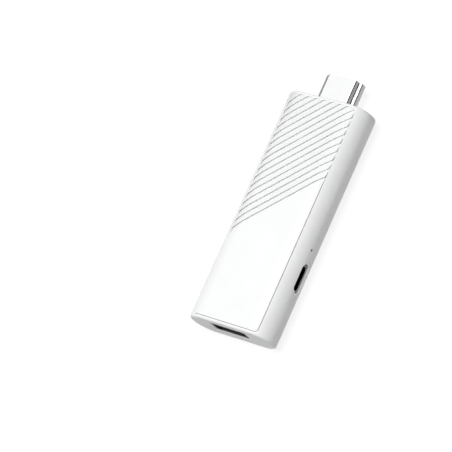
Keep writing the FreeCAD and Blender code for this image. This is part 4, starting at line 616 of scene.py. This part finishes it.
def loose_parts(mesh):
    """The separate stretches of a mesh, each a list of its vertices."""
    found = []
    done = set()
    for first in mesh.verts:
        if first in done:
            continue
        done.add(first)
        stretch = [first]
        for vert in stretch:
            for edge in vert.link_edges:
                other = edge.other_vert(vert)
                if other not in done:
                    done.add(other)
                    stretch.append(other)
        found.append(stretch)
    return found


def box_of(verts):
    """Lowest and highest corner around vertices."""
    axes = list(zip(*(vert.co for vert in verts)))
    return Vector([min(axis) for axis in axes]), Vector([max(axis) for axis in axes])


def boxes_of(node):
    """Lowest and highest corners of the separate solids in a construction piece."""
    mesh = merged(node)
    boxes = [box_of(verts) for verts in loose_parts(mesh)]
    mesh.free()
    return boxes


def gentle(height):
    """The rounding that suits a small block of a height."""
    return height / 3


def blocks(name, boxes, slot, rounding):
    """Rounded blocks between pairs of corners, as one piece."""
    mesh = bmesh.new()
    for low, high in boxes:
        size = Matrix.Diagonal((*(high - low), 1.0))
        bmesh.ops.create_cube(mesh, size=1.0, matrix=Matrix.Translation((low + high) / 2) @ size)
    bevel(mesh, mesh.edges[:], rounding)
    return new_piece(name, mesh, slot)


def end_caps(node, sizes):
    """Corners of the tinned ends around each solid in a construction piece."""
    around = Vector((sizes.tin_plate, sizes.tin_plate, 0.0))
    above = Vector((0.0, 0.0, sizes.tin_plate))
    caps = []
    for low, high in boxes_of(node):
        along = 0 if high.x - low.x > high.y - low.y else 1
        first = high.copy()
        first[along] = low[along] + sizes.cap_length
        last = low.copy()
        last[along] = high[along] - sizes.cap_length
        inwards = Vector((0.0, 0.0, 0.0))
        inwards[along] = sizes.tin_plate
        caps.append((low - around, first + around + above - inwards))
        caps.append((last - around + inwards, high + around + above))
    return caps


def side_pins(node, pitch, width, height, out):
    """Corners of a row of pins on each side of a construction piece."""
    low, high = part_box(node)
    middle = (low + high) / 2
    pins = []
    for along, across in ((0, 1), (1, 0)):
        count = int((high[along] - low[along]) / pitch) - 1
        for step in range(count):
            centre = middle[along] + (step - (count - 1) / 2) * pitch
            for face, inside in ((low[across], 1), (high[across], -1)):
                near = Vector((0.0, 0.0, low.z))
                far = Vector((0.0, 0.0, low.z + height))
                near[along] = centre - width / 2
                far[along] = centre + width / 2
                ends = sorted((face - inside * out, face + inside * width))
                near[across], far[across] = ends
                pins.append((near, far))
    return pins


def contact_feet(node, sizes):
    """Corners of the solder around each contact's foot on the board."""
    mesh = merged(node)
    reach = Vector((sizes.fillet_reach, sizes.fillet_reach, 0.0))
    feet = []
    for verts in loose_parts(mesh):
        low, high = box_of([vert for vert in verts if vert.co.z < BOARD_TOP + LEVEL])
        high.z = BOARD_TOP + sizes.fillet_height
        feet.append((low - reach, high + reach))
    mesh.free()
    return feet


def leg_joints(node, sizes):
    """Corners of the solder around each leg that a shell has in the board, on both its faces."""
    mesh = merged(node)
    cut_across(mesh, (0, 0, BOARD_UNDER), (0, 0, 1), clear=True)
    widest_leg = 3 * MM
    reach = sizes.solder_reach
    joints = []
    for verts in loose_parts(mesh):
        low, high = box_of(verts)
        if max(high - low) > widest_leg:
            continue
        for bottom, top in (
            (BOARD_TOP, BOARD_TOP + sizes.solder_height),
            (low.z, BOARD_UNDER),
        ):
            joints.append((
                Vector((low.x - reach, low.y - reach, bottom)),
                Vector((high.x + reach, high.y + reach, top)),
            ))
    mesh.free()
    return joints


def make_camera(scene, values):
    """The camera, at the viewing angle of a product picture."""
    data = bpy.data.cameras.new("camera")
    data.lens = values.lens
    data.sensor_width = 36.0
    data.clip_start = 0.01
    data.clip_end = 50.0
    camera = bpy.data.objects.new("camera", data)
    scene.collection.objects.link(camera)
    eye = Vector(values.eye)
    look = (Vector(values.aim) - eye).to_track_quat("-Z", "Y").to_matrix()
    turn = look @ Matrix.Rotation(-values.roll, 3, "Z")
    camera.matrix_world = Matrix.Translation(eye) @ turn.to_4x4()
    scene.camera = camera


def make_softbox(scene, values):
    """A square softbox straight overhead."""
    data = bpy.data.lights.new("softbox", "AREA")
    data.shape = "SQUARE"
    data.size = values.softbox_size
    data.energy = values.softbox_power
    lamp = bpy.data.objects.new("softbox", data)
    lamp.location = values.softbox_place
    towards_stick = Vector((0, 0, 0)) - Vector(values.softbox_place)
    lamp.rotation_euler = towards_stick.to_track_quat("-Z", "Y").to_euler()
    scene.collection.objects.link(lamp)


def make_sky(scene, values):
    """White for the camera and in mirrors, dimmer as a light."""
    world = bpy.data.worlds.new("sky")
    world.use_nodes = True
    scene.world = world
    nodes = world.node_tree.nodes
    links = world.node_tree.links
    background = nodes["Background"]
    background.inputs["Color"].default_value = (1, 1, 1, 1)
    strength = nodes.new("ShaderNodeMapRange")
    strength.inputs["To Min"].default_value = values.sky
    strength.inputs["To Max"].default_value = 1.0
    links.new(seen(nodes, links), strength.inputs["Value"])
    links.new(strength.outputs["Result"], background.inputs["Strength"])


def flat_square(name, transform, material):
    """A square that isn't part of the stick, from a unit square."""
    mesh = bmesh.new()
    bmesh.ops.create_grid(mesh, x_segments=1, y_segments=1, size=0.5)
    mesh.transform(transform)
    data = bpy.data.meshes.new(name)
    mesh.to_mesh(data)
    mesh.free()
    data.materials.append(material)
    square = bpy.data.objects.new(name, data)
    bpy.context.scene.collection.objects.link(square)
    return square


def make_floor(scene, values):
    """One large pale square under the stick, open where the stick's flat back hides it."""
    size = Matrix.Diagonal((values.floor_size, values.floor_size, 1.0, 1.0))
    look = pale_floor("floor", scene.stick_colours.floor, values.floor_share, values.floor_lift)
    floor = flat_square("floor", size, look)
    shell = merged("base_shell")
    low, high = box_of([vert for vert in shell.verts if vert.co.z < WELD])
    shell.free()
    mesh = bmesh.new()
    mesh.from_mesh(floor.data)
    for axis in (Vector((1, 0, 0)), Vector((0, 1, 0))):
        for sign, corner in ((1, high), (-1, low)):
            cut_across(mesh, axis * (corner.dot(axis) - sign * values.floor_inset), axis)
    middle = (low + high) / 2
    hidden = [face for face in mesh.faces if (face.calc_center_median() - middle).length < MM]
    bmesh.ops.delete(mesh, geom=hidden, context="FACES")
    mesh.to_mesh(floor.data)
    mesh.free()


def make_card(name, transform, near, far, start=0.0, stop=1.0):
    """A card that only shiny surfaces see."""
    card = flat_square(name, transform, grey_card(name, near, far, start, stop))
    card.visible_camera = False
    card.visible_diffuse = False
    card.visible_shadow = False


def make_cards(values):
    """Cards around the plug, which give its bright sheet the tones of its walls and bends."""
    low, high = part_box("hdmi_plug_shell")
    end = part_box("base_shell")[1].y
    plug = (low + high) / 2

    flat = math.cos(values.flag_height)
    way = Vector((
        math.cos(values.flag_turn) * flat,
        math.sin(values.flag_turn) * flat,
        math.sin(values.flag_height),
    ))
    middle = Matrix.Translation(plug + way * values.flag_distance)
    turn = (-way).to_track_quat("Z", "Y").to_matrix().to_4x4()
    size = Matrix.Diagonal((values.flag_size, values.flag_size, 1.0, 1.0))
    make_card("flag", middle @ turn @ size, values.flag_shade, values.flag_shade)

    reach = values.card_reach
    black = values.card_shade
    along = end + values.card_gap + reach / 2
    start = high.x + values.grey_start
    stop = start + values.grey_fade
    upended = Matrix.Rotation(math.radians(90), 4, "Y")
    for side, foot, near, far, height in (
        ("right", high.x + values.card_foot, values.grey_near, values.grey_far, values.right_card_height),
        ("left", low.x - values.card_foot, black, black, values.left_card_height),
    ):
        outwards = math.copysign(reach, foot)
        middle = Matrix.Translation((foot + outwards / 2, along, values.card_lift))
        size = Matrix.Diagonal((reach, reach, 1.0, 1.0))
        make_card(f"{side}_lying_card", middle @ size, near, far, start, stop)
        middle = Matrix.Translation((foot + outwards, along, height / 2))
        size = Matrix.Diagonal((height, reach, 1.0, 1.0))
        make_card(f"{side}_card", middle @ upended @ size, black, black)


class STICK_OT_stage(bpy.types.Operator):
    """Camera, softbox, sky, pale floor and cards"""

    bl_idname = "stick.stage"
    bl_label = "Stage"
    bl_options = {"REGISTER", "UNDO"}

    def execute(self, context):
        """Set up everything that isn't part of the stick."""
        scene = context.scene
        values = scene.stick_stage
        scene.view_settings.view_transform = "Standard"
        make_camera(scene, values)
        make_softbox(scene, values)
        make_sky(scene, values)
        make_floor(scene, values)
        make_cards(values)
        return {"FINISHED"}


class STICK_OT_shells(bpy.types.Operator):
    """Rear housing and ribbed front cover"""

    bl_idname = "stick.shells"
    bl_label = "Housing and cover"
    bl_options = {"REGISTER", "UNDO"}

    def execute(self, context):
        """Round the moulded edges of both shells, less where the seam between them is tight."""
        sizes = context.scene.stick_sizes
        reach = sizes.tight_seam
        low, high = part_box("top_cover")
        cover = merged("top_cover")
        tight_start = min(vert.co.y for vert in cover.verts if vert.co.x > high.x - reach)
        cover.free()

        def beside_tight_seam(edge):
            """Whether an edge lies along the seam, where the cover fits its opening closely."""
            ends = [vert.co for vert in edge.verts]
            on_left = all(abs(end.x - low.x) < reach for end in ends)
            on_right = all(abs(end.x - high.x) < reach and end.y > tight_start - WELD for end in ends)
            at_tip = all(high.y - sizes.tip_corner < end.y < high.y + reach for end in ends)
            at_foot = all(abs(end.y - low.y) < sizes.foot_seam for end in ends)
            return on_left or on_right or at_tip or at_foot

        def split_rim(mesh):
            """End the rim's tight stretch on the right where the cover's does."""
            cut_across(mesh, (0, tight_start, 0), (0, 1, 0))

        def draw_in_ribs(mesh):
            """Draw the high corner of each rib back from the seam on the right."""
            beside = [vert for vert in mesh.verts if vert.co.x > high.x - LEVEL]
            top = max(vert.co.z for vert in beside)
            corners = [vert.co.copy() for vert in beside if vert.co.z > top - LEVEL]
            for corner in corners:
                cut_across(mesh, corner + Vector((0, sizes.rib_end_length, 0)), (0, 1, 0))
            for vert in mesh.verts:
                if any((vert.co - corner).length < WELD for corner in corners):
                    vert.co.x -= sizes.rib_end

        for node, shape in (("base_shell", split_rim), ("top_cover", draw_in_ribs)):
            dressed(
                node,
                sizes.seam_round,
                shape=shape,
                fine=beside_tight_seam,
                fine_rounding=sizes.tight_round,
            )
        return {"FINISHED"}


class STICK_OT_plug(bpy.types.Operator):
    """Plug with its contact block and strips"""

    bl_idname = "stick.plug"
    bl_label = "Plug"
    bl_options = {"REGISTER", "UNDO"}

    def execute(self, context):
        """Round the sheet and the block, and plate the strips."""
        sizes = context.scene.stick_sizes
        dressed("hdmi_plug_shell", sizes.sheet_round)
        dressed("hdmi_plug_insulator", sizes.block_round)
        paint("hdmi_contacts")
        return {"FINISHED"}


class STICK_OT_sockets(bpy.types.Operator):
    """Both sockets with their tongues and contacts"""

    bl_idname = "stick.sockets"
    bl_label = "Sockets"
    bl_options = {"REGISTER", "UNDO"}

    def execute(self, context):
        """Round the sheet and the tongues, and plate the contacts."""
        sizes = context.scene.stick_sizes
        for socket in ("usb_a", "usb_c"):
            shell = dressed(f"{socket}_shell", sizes.sheet_round)
            shell.data.materials[0] = finish_of("socket_steel")
            dressed(f"{socket}_tongue", sizes.block_round)
            paint(f"{socket}_contacts")
        return {"FINISHED"}


class STICK_OT_switch(bpy.types.Operator):
    """Reset switch and its button"""

    bl_idname = "stick.switch"
    bl_label = "Reset switch"
    bl_options = {"REGISTER", "UNDO"}

    def execute(self, context):
        """Round the button and finish the switch."""
        dressed("reset_switch_plunger", context.scene.stick_sizes.button_round, BUTTON)
        paint("reset_switch_base", "reset_switch_frame", "reset_switch_dome")
        return {"FINISHED"}


class STICK_OT_board(bpy.types.Operator):
    """Circuit board, its screws and the solder on it"""

    bl_idname = "stick.board"
    bl_label = "Circuit board"
    bl_options = {"REGISTER", "UNDO"}

    def execute(self, context):
        """Finish the board and solder the connectors to it."""
        sizes = context.scene.stick_sizes
        paint("main_board", "board_screw_low", "board_screw_high")
        feet = []
        for node in ("hdmi_contacts", "usb_a_contacts", "usb_c_contacts"):
            feet += contact_feet(node, sizes)
        blocks("contact_solder", feet, "can_metal", gentle(sizes.fillet_height))
        joints = []
        for node in ("hdmi_plug_shell", "usb_a_shell", "usb_c_shell"):
            joints += leg_joints(node, sizes)
        blocks("leg_solder", joints, "can_metal", gentle(sizes.solder_height))
        return {"FINISHED"}


class STICK_OT_chips(bpy.types.Operator):
    """Processor with its cooling, memory, storage and power chip"""

    bl_idname = "stick.chips"
    bl_label = "Chips"
    bl_options = {"REGISTER", "UNDO"}

    def execute(self, context):
        """Finish the packages, and give the power chip its pins."""
        sizes = context.scene.stick_sizes
        paint("processor", "heat_sink", "thermal_pad")
        paint("memory_chip_upper", "memory_chip_under", "storage_chip", "power_chip")
        plate = sizes.tin_plate
        pins = side_pins("power_chip", sizes.pin_pitch, sizes.pin_width, sizes.pin_height, plate)
        blocks("power_chip_pins", pins, "can_metal", gentle(plate))
        return {"FINISHED"}


class STICK_OT_passives(bpy.types.Operator):
    """Capacitors, inductors and clock crystal"""

    bl_idname = "stick.passives"
    bl_label = "Small components"
    bl_options = {"REGISTER", "UNDO"}

    def execute(self, context):
        """Finish the bodies, and add their tinned ends, feet and lid."""
        sizes = context.scene.stick_sizes
        paint("ceramic_capacitors", "input_capacitors", "power_inductors", "clock_crystal")
        caps = end_caps("ceramic_capacitors", sizes) + end_caps("input_capacitors", sizes)
        blocks("capacitor_ends", caps, "can_metal", sizes.tin_plate)
        feet = []
        for low, high in boxes_of("power_inductors"):
            for face, inside in ((low.x, 1), (high.x, -1)):
                ends = sorted((face - inside * sizes.tin_plate, face + inside * sizes.foot_inset))
                near = Vector((ends[0], low.y + sizes.foot_inset, low.z))
                far = Vector((ends[1], high.y - sizes.foot_inset, low.z + sizes.foot_height))
                feet.append((near, far))
        blocks("inductor_feet", feet, "can_metal", sizes.tin_plate)
        low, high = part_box("clock_crystal")
        inset = Vector((sizes.lid_inset, sizes.lid_inset, 0.0))
        near = Vector((low.x, low.y, high.z)) + inset
        far = high - inset + Vector((0.0, 0.0, sizes.lid_plate))
        blocks("crystal_lid", [(near, far)], "can_metal", gentle(sizes.lid_plate))
        return {"FINISHED"}


class STICK_OT_radio(bpy.types.Operator):
    """Wireless module and its aerial"""

    bl_idname = "stick.radio"
    bl_label = "Wireless module"
    bl_options = {"REGISTER", "UNDO"}

    def execute(self, context):
        """Finish the module, and add its pads and the aerial's ends."""
        sizes = context.scene.stick_sizes
        paint("wireless_board", "wireless_shield", "chip_aerial")
        plate = sizes.tin_plate
        low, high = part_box("wireless_board")
        pads = side_pins("wireless_board", sizes.pad_pitch, sizes.pad_width, high.z - low.z, plate)
        blocks("module_pads", pads, "contact_gold", gentle(plate))
        blocks("aerial_ends", end_caps("chip_aerial", sizes), "can_metal", sizes.tin_plate)
        return {"FINISHED"}


class STICK_PT_panel(bpy.types.Panel):
    """The stick's pieces, colours and sizes."""

    bl_label = "Streaming stick"
    bl_idname = "STICK_PT_panel"
    bl_space_type = "VIEW_3D"
    bl_region_type = "UI"
    bl_category = "Stick"

    def draw(self, context):
        """List the operators, then the values that they use."""
        for operator in OPERATORS:
            self.layout.operator(operator.bl_idname)
        scene = context.scene
        for group in (scene.stick_colours, scene.stick_sizes, scene.stick_stage):
            box = self.layout.box()
            for name in group.bl_rna.properties.keys():
                if name not in ("rna_type", "name"):
                    box.prop(group, name)


GROUPS = (StickColours, StickSizes, StickStage)
OPERATORS = (
    STICK_OT_stage,
    STICK_OT_shells,
    STICK_OT_plug,
    STICK_OT_sockets,
    STICK_OT_switch,
    STICK_OT_board,
    STICK_OT_chips,
    STICK_OT_passives,
    STICK_OT_radio,
)


def register():
    """Make the groups, operators and panel known."""
    for item in (*GROUPS, *OPERATORS, STICK_PT_panel):
        bpy.utils.register_class(item)
    bpy.types.Scene.stick_colours = PointerProperty(type=StickColours)
    bpy.types.Scene.stick_sizes = PointerProperty(type=StickSizes)
    bpy.types.Scene.stick_stage = PointerProperty(type=StickStage)


def unregister():
    """Take them away again."""
    del bpy.types.Scene.stick_stage
    del bpy.types.Scene.stick_sizes
    del bpy.types.Scene.stick_colours
    for item in reversed((*GROUPS, *OPERATORS, STICK_PT_panel)):
        bpy.utils.unregister_class(item)


def main():
    """Make the stick and its stage."""
    register()
    bpy.ops.stick.stage()
    bpy.ops.stick.shells()
    bpy.ops.stick.plug()
    bpy.ops.stick.sockets()
    bpy.ops.stick.switch()
    bpy.ops.stick.board()
    bpy.ops.stick.chips()
    bpy.ops.stick.passives()
    bpy.ops.stick.radio()


if __name__ == "__main__":
    main()
